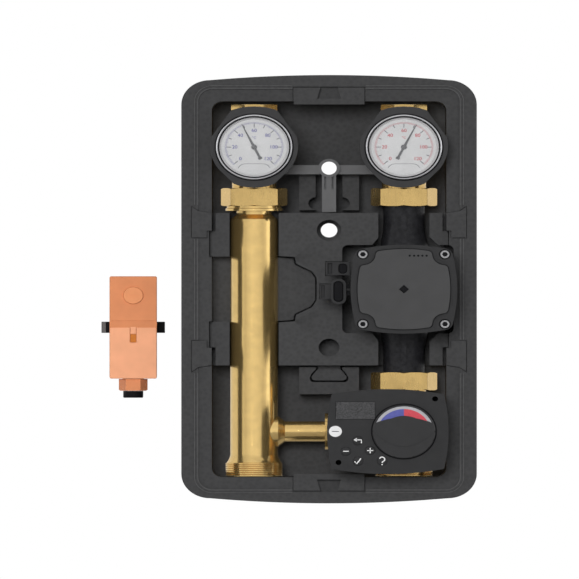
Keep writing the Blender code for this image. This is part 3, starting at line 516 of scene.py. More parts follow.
def build_shell():
    corner = high("rear_shell")
    half, tall = corner.x, corner.z
    front = low("rear_shell").y + 3
    floor = high("middle_insert").y + 0.3
    block = low("middle_insert").y
    cavity_half, cavity_tall = half - 25.3, tall - 25.65
    rebate_half, rebate_tall = half - 14.3, tall - 13.7
    outer = bowed((0, 0), half, tall, 0, 5, 24, 32, 14)
    shell = prism("case_shell", outer, 0, front)
    bead = rounded((0, 0), rebate_half + 2.4, rebate_tall + 2.4, 14.4, 12)
    join(shell, prism("bead", bead, front + 2, front - 0.9))
    cut(shell, prism("rebate", rounded((0, 0), rebate_half, rebate_tall, 12, 12), front + 2, front - 9))
    cavity = prism("cavity", rounded((0, 0), cavity_half, cavity_tall, 9, 10), floor, front - 9)
    for vertex in cavity.data.vertices:
        if vertex.co.y > (floor - 1) * MM:
            vertex.co.x -= math.copysign(DRAFT * MM, vertex.co.x)
            vertex.co.z -= math.copysign(DRAFT * MM, vertex.co.z)
    cut(shell, cavity)
    for side in (1, -1):
        add_latch(shell, side, cavity_tall, front)
    add_ears(shell, cavity_half, front)
    add_pads(shell, floor)
    for x in (LEFT, RIGHT):
        for side in (1, -1):
            start = side * (cavity_tall - 9)
            cut(shell, rod("port", THREAD_R + 5, start, side * (tall + 5), (x, PIPE_Y), "Z"))
    cut(shell, rod("wall_hole", 7, 5, floor - 5, UPPER_SCREW))
    cut(shell, rod("lower_wall_hole", SCREW_HOLE_R, 5, floor - 5, LOWER_SCREW))
    cut(shell, prism("pump_room", rounded((RIGHT, 0), 41.5, PUMP_ROOM, 5), floor - 8.3, front - 9))
    for side in (1, -1):
        for near, edge in ((31.5, -1), (43, 1)):
            x = (edge * (cavity_half - 5), edge * (cavity_half + 2.1))
            cut(shell, box("lug_room", x, (block + 10.5, front - 9), (side * near, side * 57.5)))
    add_back_relief(shell, half, tall)
    finish(shell, "case", "foam", "rear_shell", edges=(0.9, 2, 35))
    # Two fine raised lines round the rim in a lighter foam grey: a painted highlight on their edges, where
    # the real rim catches the light.
    for number, grow in enumerate((0.9, 3.6), 1):
        line = ring_line(rebate_half + grow, rebate_tall + grow, 12 + grow, front - 0.3, front - 1.2)
        for side in (1, -1):
            x = (-LATCH_HALF - 1, LATCH_HALF + 1)
            cut(line, box("latch_room", x, (front + 5, front - 5), (side * 150, side * 220)))
            for near in (1, -1):
                x = (side * 90, side * 125)
                cut(line, box("ear_room", x, (front + 5, front - 5), (near * 49.5, near * 82.6)))
        line.name = "case_rim_highlight_%d" % number
        finish(line, "case", "bead")


def ring_line(half, tall, corner, back, front):
    """A fine raised line round the rim."""
    line = prism("line", rounded((0, 0), half, tall, corner, 14), back, front)
    inner = rounded((0, 0), half - 0.8, tall - 0.8, corner - 0.8, 14)
    return cut(line, prism("inner", inner, back + 2, front - 2))


def add_back_relief(shell, half, tall):
    """A shallow border and cross channels on the back, and the mould's parting line round the sides."""
    border = prism("border", rounded((0, 0), half - 22, tall - 24, 10, 8), 5, -1.6)
    cut(border, prism("inner", rounded((0, 0), half - 27, tall - 29, 6, 8), 6, -3))
    for z in (-70, 5):
        join(border, box("channel", (24 - half, half - 24), (5, -1.6), (z - 2.5, z + 2.5)))
    cut(shell, border)
    line = prism("parting", bowed((0, 0), half + 3, tall + 3, 0, 5, 27, 32, 14), -61, -60)
    cut(line, prism("inner", bowed((0, 0), half - 0.7, tall - 0.7, 0, 5, 23.3, 32, 14), -59, -62))
    cut(shell, line)


def add_latch(shell, side, cavity_tall, front):
    """The raised catch block with its dovetail slot for the front cover."""
    near = side * (cavity_tall - 3.2)
    far = side * (cavity_tall + 13.2)
    reach = LATCH_HALF + GROOVE
    cut(shell, box("latch_gap", (-reach, reach), (front + 4, front - 9), (near, far + GROOVE * side)))
    join(shell, box("latch", (-LATCH_HALF, LATCH_HALF), (-70, front - 1.4), (near, far)))
    slot = [(-9.9, near + 5.6 * side), (9.9, near + 5.6 * side), (7, far + side), (-7, far + side)]
    cut(shell, prism("slot", slot, front + 8, front - 4))


def add_ears(shell, edge, front):
    ear = [(edge, 57.5), (edge + 4.1, 57.5), (edge + 4.1, 50.7), (edge + 16.4, 50.7),
           (edge + 16.4, 80.7), (edge + 11, 76.5), (edge, 74.4)]
    gap = [(edge - 1, 56.7), (edge + 3.4, 56.7), (edge + 3.4, 50), (edge + 17.1, 50),
           (edge + 17.1, 82.1), (edge + 10.8, 77.2), (edge - 1, 75.1)]
    for flip_x in (1, -1):
        for flip_z in (1, -1):
            cut(shell, prism("ear_gap", [(flip_x * x, flip_z * z) for x, z in gap], front + 3, front - 5))
            outline = [(flip_x * x, flip_z * z) for x, z in ear]
            join(shell, prism("ear", outline, front + 11, front - 2.6))


def add_pads(shell, floor):
    for side in (-1, 1):
        pad = box("pad", (side * 11.2, side * 25.1), (floor + 2, -58), (77.5, 112.5))
        cut(pad, rod("pad_notch", 6, -20, -62, (side * 11.2, 84.3), steps=40))
        join(shell, pad)
    pad = box("lower_pad", (-25, 25), (floor + 2, -72), (-103.1, -76.4))
    cut(pad, prism("tongue_room", dovetail(10.9, 16.2, -70, -91.2, 3.6), -20, -92))
    join(shell, pad)


def dovetail(neck, foot, top, bottom, corner):
    """A tongue that widens downwards to rounded corners."""
    right = [(neck, top), (neck, -78.5), (foot - 2, -82.5)]
    right += arc((foot - corner, bottom + corner), corner, 20, -90, 6)
    return mirrored(right)


def build_insert():
    half = high("rear_shell").x - 25.6
    tall = high("middle_insert").z
    back, front = depths("middle_insert")
    over = front - 5
    insert = box("case_insert", (-half, half), (back, front), (-tall, tall))
    for side in (1, -1):
        for near, edge in ((32, -1), (43.5, 1)):
            x = (edge * (half - 8), edge * (half + 1.7))
            join(insert, box("lug", x, (front + 10, front), (side * near, side * 57)))
    join(insert, prism("tongue", dovetail(9.4, 14.6, 3 - tall, -89.6, 3.0), back, -66))
    pipe = TUBE_R + 0.5
    cut(insert, rod("return_bed", pipe, -90, 90, (LEFT, PIPE_Y), "Z"))
    cut(insert, box("return_slot", (LEFT - pipe, LEFT + pipe), (PIPE_Y, over), (-90, 90)))
    cut(insert, box("valley", (-half - 5, LEFT), (-60, over), (-32, 32)))
    for side in (1, -1):
        for edge in (-1, 1):
            x = (edge * (half - 3), edge * (half + 5))
            cut(insert, box("relief", x, (-60, over), (side * 57, side * 90)))
    cut(insert, prism("pump_room", rounded((RIGHT, 0), 51.5, PUMP_ROOM, 5), back - 8, over))
    neck = [(-21.4, 90), (-21.4, 50.5), (-27.5, 42), (30, 42), (21.3, 51.3), (21.3, 90)]
    for side in (1, -1):
        cut(insert, prism("neck_room", [(RIGHT + x, side * z) for x, z in neck], back - 8, over))
    recess = [(-50, 32.6), (-42.6, 32.6), (-28.6, 31.6), (-27.5, 25), (-14.3, 17.6), (-10.3, 11)]
    cut(insert, prism("side_recess", mirrored(recess, 1, -1), front + 45, over))
    island = [(-43.1, 31.1), (-29.9, 30.2), (-28.6, 24.2), (-15.2, 16.8), (-11.6, 10.6)]
    join(insert, prism("recess_floor", mirrored(island, 1, -1), back, front + 17))
    cut(insert, rod("screw_way", SCREW_HOLE_R, -20, over, LOWER_SCREW, steps=40))
    cut(insert, rod("screw_seat", 10.2, front + 30, over, LOWER_SCREW, steps=40))
    cut(insert, rod("blind_hole", 8.7, front + 36, over, (0, -57.3), steps=40))
    cut(insert, box("pocket_upper", (-3.2, 30), (front + 12, over), (13, 27.4)))
    cut(insert, box("pocket_lower", (-8, 30), (front + 12, over), (-10.2, 5.6)))
    finish(insert, "case", "insert", "middle_insert", edges=(0.9, 2, 35))


def build_bracket():
    """Snap clips round both valve necks, a cross bar, the screw standoff and the split stem."""
    base, top = 112.8, 121.8
    bar = box("clip_bracket", (LEFT, RIGHT), (-80, -64), (base, top))
    for x in (LEFT, RIGHT):
        join(bar, rod("clip", 23.1, base, top, (x, PIPE_Y), "Z"))
    for x in (LEFT, RIGHT):
        cut(bar, rod("grip", 19.4, base - 5, top + 5, (x, PIPE_Y), "Z"))
        cut(bar, box("mouth", (x - 14.5, x + 14.5), (PIPE_Y - 8, -130), (base - 5, top + 5)))
    stem = box("stem", (-5.9, 5.9), (-84, -75), (75.8, 118))
    for side in (-1, 1):
        cut(stem, box("slit", (side * 2.2, side * 3.9), (-78, -90), (98, 111)))
    join(bar, stem)
    join(bar, rod("standoff", 9.05, -28.3, -86, UPPER_SCREW))
    cut(bar, rod("screw_way", 6.35, -20, -90, UPPER_SCREW))
    finish(bar, "case", "bracket", "valve_bracket", edges=(0.5, 2))


# ---------------------------------------------------------------- valves

def ball_arc(radius, centre, cap, steps):
    tilt = math.acos(min(1.0, cap / radius))
    points = []
    for i in range(steps + 1):
        angle = -tilt + 2 * tilt * i / steps
        points.append((radius * math.cos(angle), centre + radius * math.sin(angle)))
    return points


def eight_sided(name, radius, start, end, centre, turn, chamfer):
    """An octagonal bar end with its corners turned off at both faces."""
    blank = prism(name, arc(centre, radius, turn, turn + 315, 7), start, end, "Z")
    low_z, high_z = sorted((start, end))
    flat = radius * math.cos(math.pi / 8) + 0.2
    cone = [(0, low_z), (flat, low_z), (radius + 0.3, low_z + chamfer), (radius + 0.3, high_z - chamfer),
            (flat, high_z), (0, high_z)]
    return common(blank, turned("cone", cone, centre, "Z", 96))


def build_valve_body(prefix, x):
    centre = (x, PIPE_Y)
    profile = [(0, COLLAR_Z), (COLLAR_R, COLLAR_Z), (COLLAR_R, COLLAR_Z + 4), (NECK_R, COLLAR_Z + 4)]
    profile += ball_arc(26, VALVE_Z, NECK_R, 20)
    profile += [(NECK_R, VALVE_TOP - 12), (0, VALVE_TOP - 12)]
    body = turned(prefix + "_valve_casting", profile, centre, "Z", 72)
    join(body, eight_sided("end", 20.8, VALVE_TOP - 15, VALVE_TOP, centre, 22.5, 0.8))
    nose = low(prefix + "_valve_body").y
    join(body, rod("boss", 11, PIPE_Y - 20, nose, (x, VALVE_Z)))
    cut(body, rod("socket", 15.15, VALVE_TOP - 17, VALVE_TOP + 5, centre, "Z"))
    cut(body, rod("bore", BORE_R, COLLAR_Z - 5, VALVE_TOP, centre, "Z"))
    cut(body, rod("room", 18.3, PIPE_Y - 8, PIPE_Y + 8, (x, VALVE_Z)))
    cut(body, rod("stem_way", STEM_R, PIPE_Y - 8, nose - 5, (x, VALVE_Z), steps=32))
    finish(body, "case", "brass", prefix + "_valve_body", edges=(0.6, 2))


def grip_outline(x):
    """Six-sided grip: a shallow arc top and bottom, straight shoulders and round flanks."""
    right = [(0, 39.9), (6.5, 39.5), (13, 38.3), (19.1, 36.2)]
    right += arc((-1.5, 0.5), 38.2, 15.5, -35.5, 14)
    right += [(17.1, -36), (11.5, -38.3), (5.8, -39.5), (0, -39.9)]
    left = [(-u, v) for u, v in right[1:-1]][::-1]
    return shifted(right + left, (x, VALVE_Z))


def build_handle(prefix, x):
    centre = (x, VALVE_Z)
    back = low(prefix + "_valve_handle").y + 28
    front = low(prefix + "_valve_handle").y
    grip = prism(prefix + "_grip", grip_outline(x), back, front)
    join(grip, rod("hub", 9, back + 9, back - 3, centre))
    seat = [(0, back - 7), (32.05, back - 7), (32.05, front + 1.6), (33.6, front - 1), (0, front - 1)]
    cut(grip, turned("seat", seat, centre, "Y", 96))
    cut(grip, rod("hub_bore", STEM_R, back + 14, back - 12, centre, steps=32))
    finish(grip, prefix + "_handle", "handle", prefix + "_valve_handle", edges=(0.8, 3, 28))


def build_gauge(prefix, x, tint):
    body = prefix + "_handle"
    centre = (x, VALVE_Z)
    back, front = depths(prefix + "_gauge_case")
    rear = back - 20
    face = low(prefix + "_gauge_dial").y
    case = [(0, back), (3, back), (3, rear), (31.75, rear), (31.75, front + 0.5), (31.3, front + 0.05),
            (31.0, front), (30.7, front + 0.1), (30.4, front + 0.5), (30.3, face - 0.5), (28, face + 0.2),
            (28, rear - 2), (0, rear - 2)]
    rim = turned(prefix + "_gauge_bezel", case, centre, "Y", 128)
    finish(rim, body, "bezel", prefix + "_gauge_case", sharp=25)
    # A black ring between the bezel and the dial: the lens seal, and painted shade standing in for the dark
    # groove there.
    seal = ring(prefix + "_lens_seal_shade", 29.2, 30.25, face - 1, front + 1.1, centre, "Y", 128)
    finish(seal, body, "black")
    cone = [(29.1, face - 3.0), (29.1, face - 0.15), (27.2, face - 0.15), (27.5, face - 0.6)]
    shade = turned(prefix + "_dial_surround", cone, centre, "Y", 128)
    finish(shade, body, "dial")
    plate = ring(prefix + "_dial_plate", 1.2, 29.4, face + 0.8, face, centre, "Y", 128)
    finish(plate, body, "dial", prefix + "_gauge_dial")
    build_scale(prefix, centre, face, tint)
    lens = high(prefix + "_gauge_lens").y
    dome = [(0, lens), (29.1, lens), (29.1, lens - 1.2), (20, lens - 1.6), (0, lens - 1.7)]
    glass = turned(prefix + "_lens", dome, centre, "Y", 96)
    finish(glass, body, "glass", prefix + "_gauge_lens")
    build_needle(prefix, centre)


def ticks(centre, face, count, half_width, outer, every, long, short):
    """Radial marks over 270 degrees, with each one in every reaching further in."""
    marks = []
    for step in range(count + 1):
        inner = short if step % every else long
        tick = [(-half_width, inner), (half_width, inner), (half_width, outer), (-half_width, outer)]
        outline = turned_about(tick, centre, -135 + 270 * step / count)
        marks.append(prism("tick", outline, face, face - PRINT))
    return marks


def build_scale(prefix, centre, face, tint):
    """Ticks for each degree and each ten degrees, numbers every twenty and the arch under them."""
    body = prefix + "_handle"
    fine = ticks(centre, face, 120, 0.16, 24.6, 5, 22.4, 22.9)
    finish(merged(prefix + "_scale_fine", fine), body, tint)
    coarse = ticks(centre, face, 12, 0.32, 23.2, 2, 19.2, 20.2)
    arch = mirrored([(-13.4, -20.2), (-12.2, -18.2), (-10.4, -16.9), (-8, -16.2)])
    lower = [(u * 0.975, v - 0.35) for u, v in arch[::-1]]
    coarse.append(prism("arch", shifted(arch + lower, centre), face, face - PRINT))
    finish(merged(prefix + "_scale_coarse", coarse), body, "print_dark")
    figures = []
    for step in range(7):
        angle = math.radians(-135 + 45 * step)
        spot = (centre[0] + 16.2 * math.sin(angle), centre[1] + 16.2 * math.cos(angle))
        figures.append(lettering("figure", str(20 * step), spot, 4.6, face - PRINT))
    figures.append(lettering("unit", "°C", (centre[0], centre[1] + 9.2), 3.2, face - PRINT))
    finish(merged(prefix + "_scale_figures", figures), body, tint)


def build_needle(prefix, centre):
    lean = -24.7 if centre[0] < 0 else 25.3
    back = high(prefix + "_gauge_pointer").y - 3.1
    blade = mirrored([(-0.3, 24.6), (-0.9, 8), (-1.1, 3), (-1.1, -10.5), (-1.9, -11.5), (-1.5, -13.2)])
    needle = prism(prefix + "_needle", turned_about(blade, centre, lean), back, back - 0.7)
    boss = [(0, back), (2.3, back), (2.5, back - 0.9), (1.7, back - 1.7), (0, back - 1.9)]
    join(needle, turned("boss", boss, centre, "Y", 40))
    join(needle, rod("pin", 0.8, back + 3.0, back - 0.5, centre, steps=20))
    finish(needle, prefix + "_pointer", "needle", prefix + "_gauge_pointer")


def build_union(prefix, x, side):
    centre = (x, PIPE_Y)
    nut = eight_sided(prefix + "_hex_nut", 27.7, side * NUT_LOW, side * NUT_HIGH, centre, 0, 1.1)
    cut(nut, rod("thread", THREAD_R + 0.3, side * (NUT_LOW - 5), side * (NUT_HIGH - 3), centre, "Z"))
    cut(nut, rod("lip", NECK_R + 0.4, side * (NUT_HIGH - 6), side * (NUT_HIGH + 5), centre, "Z"))
    finish(nut, "case", "brass", prefix + "_union_nut", edges=(0.45, 2))


# ---------------------------------------------------------------- pump

def build_pump_casting():
    centre = (RIGHT, 0)
    profile = [(0, -39), (30, -39), (35, -40.5), (38.5, -44), (40, -49), (40, -99), (0, -99)]
    volute = turned("pump_casting", profile, centre, "Y", 96)
    join(volute, prism("plate", rounded(centre, 39.2, 39.2, 6), -88, -100))
    tail = UNION_Z - 8.2
    necks = [(0, -UNION_Z), (THREAD_R, -UNION_Z), (THREAD_R, -tail), (17.2, -tail), (17.2, -60), (19.5, -44)]
    necks = mirrored(necks, 1, -1)
    join(volute, turned("necks", necks, (RIGHT, PIPE_Y), "Z", 72))
    join(volute, rod("elbow", 13, -62, -5, (RIGHT, -53.5), "Z", 48))
    for side in (1, -1):
        join(volute, box("rib", (RIGHT - 2.2, RIGHT + 2.2), (-60, -93), (side * 40, side * 74)))
    cut(volute, rod("chamber", 33, -66, -105, centre))
    for side in (1, -1):
        ends = sorted((side * 15, side * (UNION_Z + 5)))
        cut(volute, rod("bore", BORE_R, ends[0], ends[1], (RIGHT, PIPE_Y), "Z", 48))
    for x, z in screw_places():
        cut(volute, rod("tapping", 2.8, -80, -105, (x, z), steps=24))
    finish(volute, "case", "iron", "pump_housing", edges=(0.9, 2))


def screw_places():
    return [(RIGHT + i * SCREW_REACH, k * SCREW_REACH) for k in (1, -1) for i in (-1, 1)]


def cover_outline(inset):
    """A bowed square with a hollow corner round each screw, blended in by a fillet at both ends."""
    half_width = 38.7 - inset
    half_height = 39.45 - inset
    notch = 10.6 + inset
    fillet = 4.2 - min(inset, 3) / 2
    bow = 1.75
    rise = half_height - bow
    run = half_width - bow
    reach = notch + fillet
    side_gap = run - fillet - SCREW_REACH
    top_gap = rise - fillet - SCREW_REACH
    side_z = SCREW_REACH - math.sqrt(reach ** 2 - side_gap ** 2)
    top_x = SCREW_REACH - math.sqrt(reach ** 2 - top_gap ** 2)
    lean = math.degrees(math.atan2(side_z - SCREW_REACH, side_gap))
    tilt = math.degrees(math.atan2(top_gap, top_x - SCREW_REACH))
    corner = arc((run - fillet, side_z), fillet, 0, lean + 180, 6)
    corner += arc((SCREW_REACH, SCREW_REACH), notch, lean, tilt, 16)[1:]
    corner += arc((top_x, rise - fillet), fillet, tilt + 180, 90, 6)[1:]
    points = []
    for quarter, (side_x, side_z) in enumerate(((1, 1), (-1, 1), (-1, -1), (1, -1))):
        hollow = [(side_x * u, side_z * v) for u, v in corner]
        points += hollow[::-1] if quarter % 2 else hollow
        for i in range(1, 12):
            t = 1 - 2 * i / 12
            if quarter % 2:
                points.append((side_x * (half_width - bow * t * t), side_z * t * corner[0][1]))
            else:
                points.append((side_x * t * corner[-1][0], side_z * (half_height - bow * t * t)))
    return shifted(points, (RIGHT, 0))


def build_pump_head():
    centre = (RIGHT, 0)
    back, front = depths("pump_control_box")
    step = front + 40
    head = prism("pump_head", bowed(centre, 44.5, 43.65, 3.5, 3.5, 8, 20, 10), step, front)
    motor = [(0, back), (36.5, back), (37.5, back - 1.5), (37.5, step - 1), (0, step - 1)]
    join(head, turned("motor_shell", motor, centre, "Y", 96))
    for k in range(24):
        angle = math.radians(15 * k + 7.5)
        spot = (RIGHT + 37.6 * math.cos(angle), 37.6 * math.sin(angle))
        cut(head, rod("cooling_groove", 1.1, back - 4, step - 0.5 + 3, spot, steps=12))
    cut(head, rod("motor_room", 34.3, back + 5, back - 25.7, centre, steps=64))
    cut(head, prism("board_room", cover_outline(3), step - 3, front - 5))
    cut(head, prism("cover_seat", cover_outline(-0.7), front + 4, front - 5))
    for x, z in screw_places():
        cut(head, rod("screw_way", 2.8, back + 10, front - 5, (x, z), steps=24))
        cut(head, rod("head_seat", 4.9, front + 10, front - 5, (x, z), steps=40))
    finish(head, "case", "head", "pump_control_box", edges=(0.9, 3, 32))
    build_pump_cover()
    for number, spot in enumerate(screw_places(), 1):
        build_screw(number, spot)


def build_pump_cover():
    front = low("pump_cover").y
    cover = prism("pump_front_cover", cover_outline(0), high("pump_cover").y, front)
    diamond = [(RIGHT + 4.2, 0), (RIGHT, 4.2), (RIGHT - 4.2, 0), (RIGHT, -4.2)]
    cut(cover, prism("button_way", diamond, -150, -180))
    lamps = []
    for dx in (4.8, 8.5, 11.9, 15.4, 18.9):
        spot = (RIGHT + dx, 32.9)
        cut(cover, rod("light_way", 1.0, -150, -180, spot, steps=20))
        lamps.append(rod("lamp", 0.85, front + 5, front + 0.3, spot, steps=20))
    finish(cover, "case", "cover", "pump_cover", edges=(0.7, 3))
    finish(merged("pump_lamps", lamps), "case", "black", slot="pump_cover_plastic")
    reach = 3.8
    diamond = [(RIGHT + reach, 0), (RIGHT, reach), (RIGHT - reach, 0), (RIGHT, -reach)]
    button = prism("pump_diamond_button", diamond, high("pump_button").y, low("pump_button").y)
    finish(button, "pump_button_cap", "black", "pump_button", edges=(0.5, 3))


def build_screw(number, spot):
    """A socket-head cap screw down one corner of the pump head."""
    node = "pump_screw_%d" % number
    back, front = depths(node)
    profile = [(0, back), (2.5, back), (2.5, front + 6.2), (4.2, front + 6.2), (4.2, front + 0.5),
               (3.7, front), (0, front)]
    screw = turned("socket_screw_%d" % number, profile, spot, "Y", 48)
    cut(screw, prism("hexagon_socket", arc(spot, 2.5, 0, 300, 5), front + 4, front - 2))
    finish(screw, "case", "steel", node)
    # A black hexagon at the bottom of the steel socket: painted shade in the recess.
    floor = prism("socket_floor_shade_%d" % number, arc(spot, 2.45, 0, 300, 5), front + 3.9, front + 0.9)
    finish(floor, "case", "black", slot="bright_steel")


def build_plugs():
    edge = high("pump_power_plug").x
    front = low("pump_power_plug").y
    power = box("power_connector", (-2.7, edge), (-134, front), (13.6, 26.9))
    cut(power, prism("socket", rounded((11.6, 20.2), 3.6, 4.8, 3), front + 8, front - 5))
    cut(power, box("slot", (-0.9, 2.4), (front + 4, front - 5), (15, 25.5)))
    finish(power, "case", "head", "pump_power_plug", slot="black_plastic", edges=(0.6, 3))
    front = low("pump_signal_plug").y
    signal = prism("signal_connector", rounded((8, -2.3), 6.3, 12.4, 5.5), -134, front)
    join(signal, box("tab", (-7.6, 5), (-134, front + 6), (-9.7, 5)))
    cut(signal, box("tab_slot", (-6.4, -3.6), (front + 9, front), (-8.4, 3.8)))
    join(signal, box("contacts", (8, edge), (-136, front + 4), (-5.8, 5.1)))
    cut(signal, prism("socket", rounded((7.8, -2.3), 4.2, 10.2, 3.9), front + 8, front - 5))
    for z in (2.7, -3.4):
        cut(signal, box("pin_hole", (14.6, 17.3), (front + 9, front), (z - 2.0, z + 2.0)))
    finish(signal, "case", "head", "pump_signal_plug", slot="black_plastic", edges=(0.5, 3))
    # Black pieces deep in the plug sockets and pin holes: painted shade in the recesses, darker than the
    # plugs' own plastic.
    dark = [prism("well", rounded((11.6, 20.2), 3.5, 4.7, 2.9), front + 7.5, front + 2.2),
            prism("well", rounded((7.8, -2.3), 3.6, 9.6, 3.4), front + 7.5, front + 1.6)]
    dark += [box("pin", (14.7, 17.2), (front + 8, front + 4.3), (z - 1.9, z + 1.9)) for z in (2.7, -3.4)]
    wells = merged("plug_socket_shade", dark)
    finish(wells, "case", "black", edges=(0.4, 2))


# ---------------------------------------------------------------- pipework

def threaded(start, end, turns, outer, depth):
    """Profile points of a thread's ridges from start to end."""
    points = []
    pitch = (end - start) / turns
    for i in range(turns):
        base = start + pitch * i
        ridge = ((depth, 0.04), (0, 0.24), (0, 0.78), (depth, 0.98))
        points += [(outer - drop, base + share * pitch) for drop, share in ridge]
    return points


def build_return_pipe():
    foot = PIPE_FOOT
    profile = [(THREAD_R - 1.2, foot)]
    profile += threaded(foot + 0.4, foot + 13.4, 7, THREAD_R, 0.8)
    flare = [(23.2, 13.6), (22.2, 15.2), (20.9, 18), (20.2, 20.4), (TUBE_R, 21.4)]
    profile += [(radius, foot + rise) for radius, rise in flare]
    profile += [(TUBE_R, 66.5), (19.4, 69), (14.8, 73.5), (14.8, 76.8), (THREAD_R - 0.2, 76.8),
                (THREAD_R, 77), (THREAD_R, 79.2), (THREAD_R - 0.3, 79.6), (THREAD_R - 1, 79.8),
                (THREAD_R - 1, UNION_Z)]
    profile += [(11, UNION_Z), (11, 66), (13, 62), (13, 43), (11, 43), (11, 38), (16.5, 38), (16.5, foot)]
    pipe = turned("return_tube", profile, (LEFT, PIPE_Y), "Z", 128)
    cut(pipe, rod("side_way", 7.5, LEFT, LEFT + 25, (PIPE_Y, BYPASS_Z), "X", 48))
    finish(pipe, "case", "tube", "return_pipe", sharp=30)
    end = high("bypass_pipe").x
    saddle = LEFT + TUBE_R
    bypass = [(7.5, LEFT + 8), (15.2, LEFT + 8), (15.2, saddle - 1), (15.2, saddle), (10.4, saddle + 5.6),
              (10, saddle + 5.7), (10, saddle + 6.2), (10, end - 0.5), (10, end), (7.5, end)]
    bypass = turned("bypass_tube", bypass, (PIPE_Y, BYPASS_Z), "X", 96)
    cut(bypass, rod("saddle", TUBE_R + 0.2, BYPASS_Z - 25, BYPASS_Z + 25, (LEFT, PIPE_Y), "Z", 128))
    finish(bypass, "case", "tube_across", "bypass_pipe", sharp=20)


def build_check_spring():
    """The check valve's coil, fixed at its upper end, copied as it stands from the frame's mesh."""
    node = "check_valve_spring"
    spring = bpy.data.objects.new("check_spring_coil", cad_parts[node].data.copy())
    bpy.context.scene.collection.objects.link(spring)
    finish(spring, "case", "steel", node)
    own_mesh(spring)


def build_mixing_valve():
    axis = (RIGHT, PIPE_Y)
    side = (PIPE_Y, BYPASS_Z)
    centre = (RIGHT, BYPASS_Z)
    top = high("mixing_valve_body").z
    foot = low("mixing_valve_body").z
    port = low("mixing_valve_body").x
    profile = [(0, foot), (THREAD_R - 1.2, foot)]
    profile += threaded(foot + 0.4, foot + 13.0, 6, THREAD_R, 1.1)
    profile += [(THREAD_R, foot + 13.4), (19, foot + 13.4), (19, -164), (26, -157), (26, -122),
                (NECK_R, -115), (NECK_R, top - 4), (COLLAR_R, top - 4), (COLLAR_R, top), (0, top)]
    body = turned("mixing_casting", profile, axis, "Z", 96)
    branch = [(0, RIGHT), (15, RIGHT), (15, 6), (18, 5), (18, port), (0, port)]
    join(body, turned("branch", branch, side, "X", 72))
    join(body, rod("boss", 24, PIPE_Y, -98.6, centre, steps=72))
    cut(body, rod("chamber", 17, -54, -102, centre))
    cut(body, rod("way", BORE_R, foot - 5, top + 5, axis, "Z", 48))
    cut(body, rod("side_way", 8, RIGHT, -2, side, "X", 48))
    cut(body, rod("socket", 10.3, 12, -8, side, "X", 48))
    finish(body, "case", "brass", "mixing_valve_body", edges=(0.5, 2))
    back = high("mixing_bonnet").y
    bonnet = [(STEM_R, back), (16.7, back), (16.7, -98.9), (24, -98.9), (24, -104.2), (23.2, -105),
              (12, -105), (12, -111.2), (11.5, -111.7), (STEM_R, -111.7)]
    finish(turned("mixing_cap", bonnet, centre), "case", "brass", "mixing_bonnet")


# ---------------------------------------------------------------- controller

KEYS = ("key_back", "key_minus", "key_plus", "key_ok", "key_help")


def control_outline(inset):
    node = "controller_cover"
    size = (high(node) - low(node)) / 2
    return bowed(facing(node), size.x - inset, size.z - inset, 3.4, 4.6, 2.4, 24, 6)


def build_controller():
    centre = (RIGHT, BYPASS_Z)
    back, front = depths("controller_cover")
    base_back = high("controller_base").y
    base = prism("control_back", control_outline(1), base_back, back + 0.3)
    cut(base, prism("base_room", control_outline(4), base_back - 3, back - 5))
    cut(base, rod("stem_way", 6, base_back + 5, base_back - 8, centre, steps=32))
    finish(base, "case", "control", "controller_base", edges=(1.2, 3))
    cover = prism("control_front", control_outline(0), back, front)
    cut(cover, prism("cover_room", control_outline(3), back + 5, front + 7))
    cut(cover, rod("knob_well", KNOB_WELL_R, front + 3.2, front - 1, centre, "Y", 128))
    cut(cover, rod("knob_way", 6, -150, front - 5, centre, steps=32))
    cut(cover, box("display_seat", (5.2, 38.7), (front + 2, front - 5), (-127.9, -110.3)))
    for node in KEYS:
        cut(cover, rod("key_way", KEY_R + 0.25, -150, front - 5, facing(node), steps=48))
    for spot in ((88.5, -107.7), (7.9, -170.1)):
        cut(cover, rod("screw_well", 2.5, -150, front - 5, spot, steps=32))
    finish(cover, "case", "control", "controller_cover", edges=(1.4, 4, 38))
    # A black ring on the well floor round the knob: painted shade in the gap, darker than the lit floor would
    # be.
    well_edge = KNOB_WELL_R + 0.4
    gap = ring("control_knob_gap_shade", KNOB_R + 0.2, well_edge, front + 3.3, front + 0.5, centre, "Y", 128)
    finish(gap, "case", "black", slot="control_plastic")
    seal = prism("control_seal", control_outline(1.3), back + 0.4, back - 0.1)
    cut(seal, prism("inner", control_outline(3.4), back + 2, back - 2))
    finish(seal, "case", "black", slot="control_plastic")
    screen = box("control_screen", (5.5, 38.4), (front + 1.7, front + 0.3), (-127.6, -110.6))
    finish(screen, "case", "screen", "controller_display", edges=(0.3, 2))
    disc = [(0, front + 0.2), (5.4, front + 0.2), (5.4, front - 0.3), (5.1, front - 0.5), (0, front - 0.5)]
    finish(turned("control_badge", disc, (5.3, -139.6), "Y", 48), "case", "white")
    rule = box("control_badge_line", (2.4, 8.2), (front - 0.4, front - 0.6), (-140.0, -139.3))
    finish(rule, "case", "print_dark", slot="control_plastic")
    build_keys(front)
    build_knob(centre)


def stroke(points, width):
    """An open line of points thickened to a closed outline."""
    left = []
    right = []
    for i, (x, z) in enumerate(points):
        before = points[max(0, i - 1)]
        after = points[min(len(points) - 1, i + 1)]
        run = Vector((after[0] - before[0], after[1] - before[1])).normalized()
        left.append((x - run.y * width / 2, z + run.x * width / 2))
        right.append((x + run.y * width / 2, z - run.x * width / 2))
    return left + right[::-1]


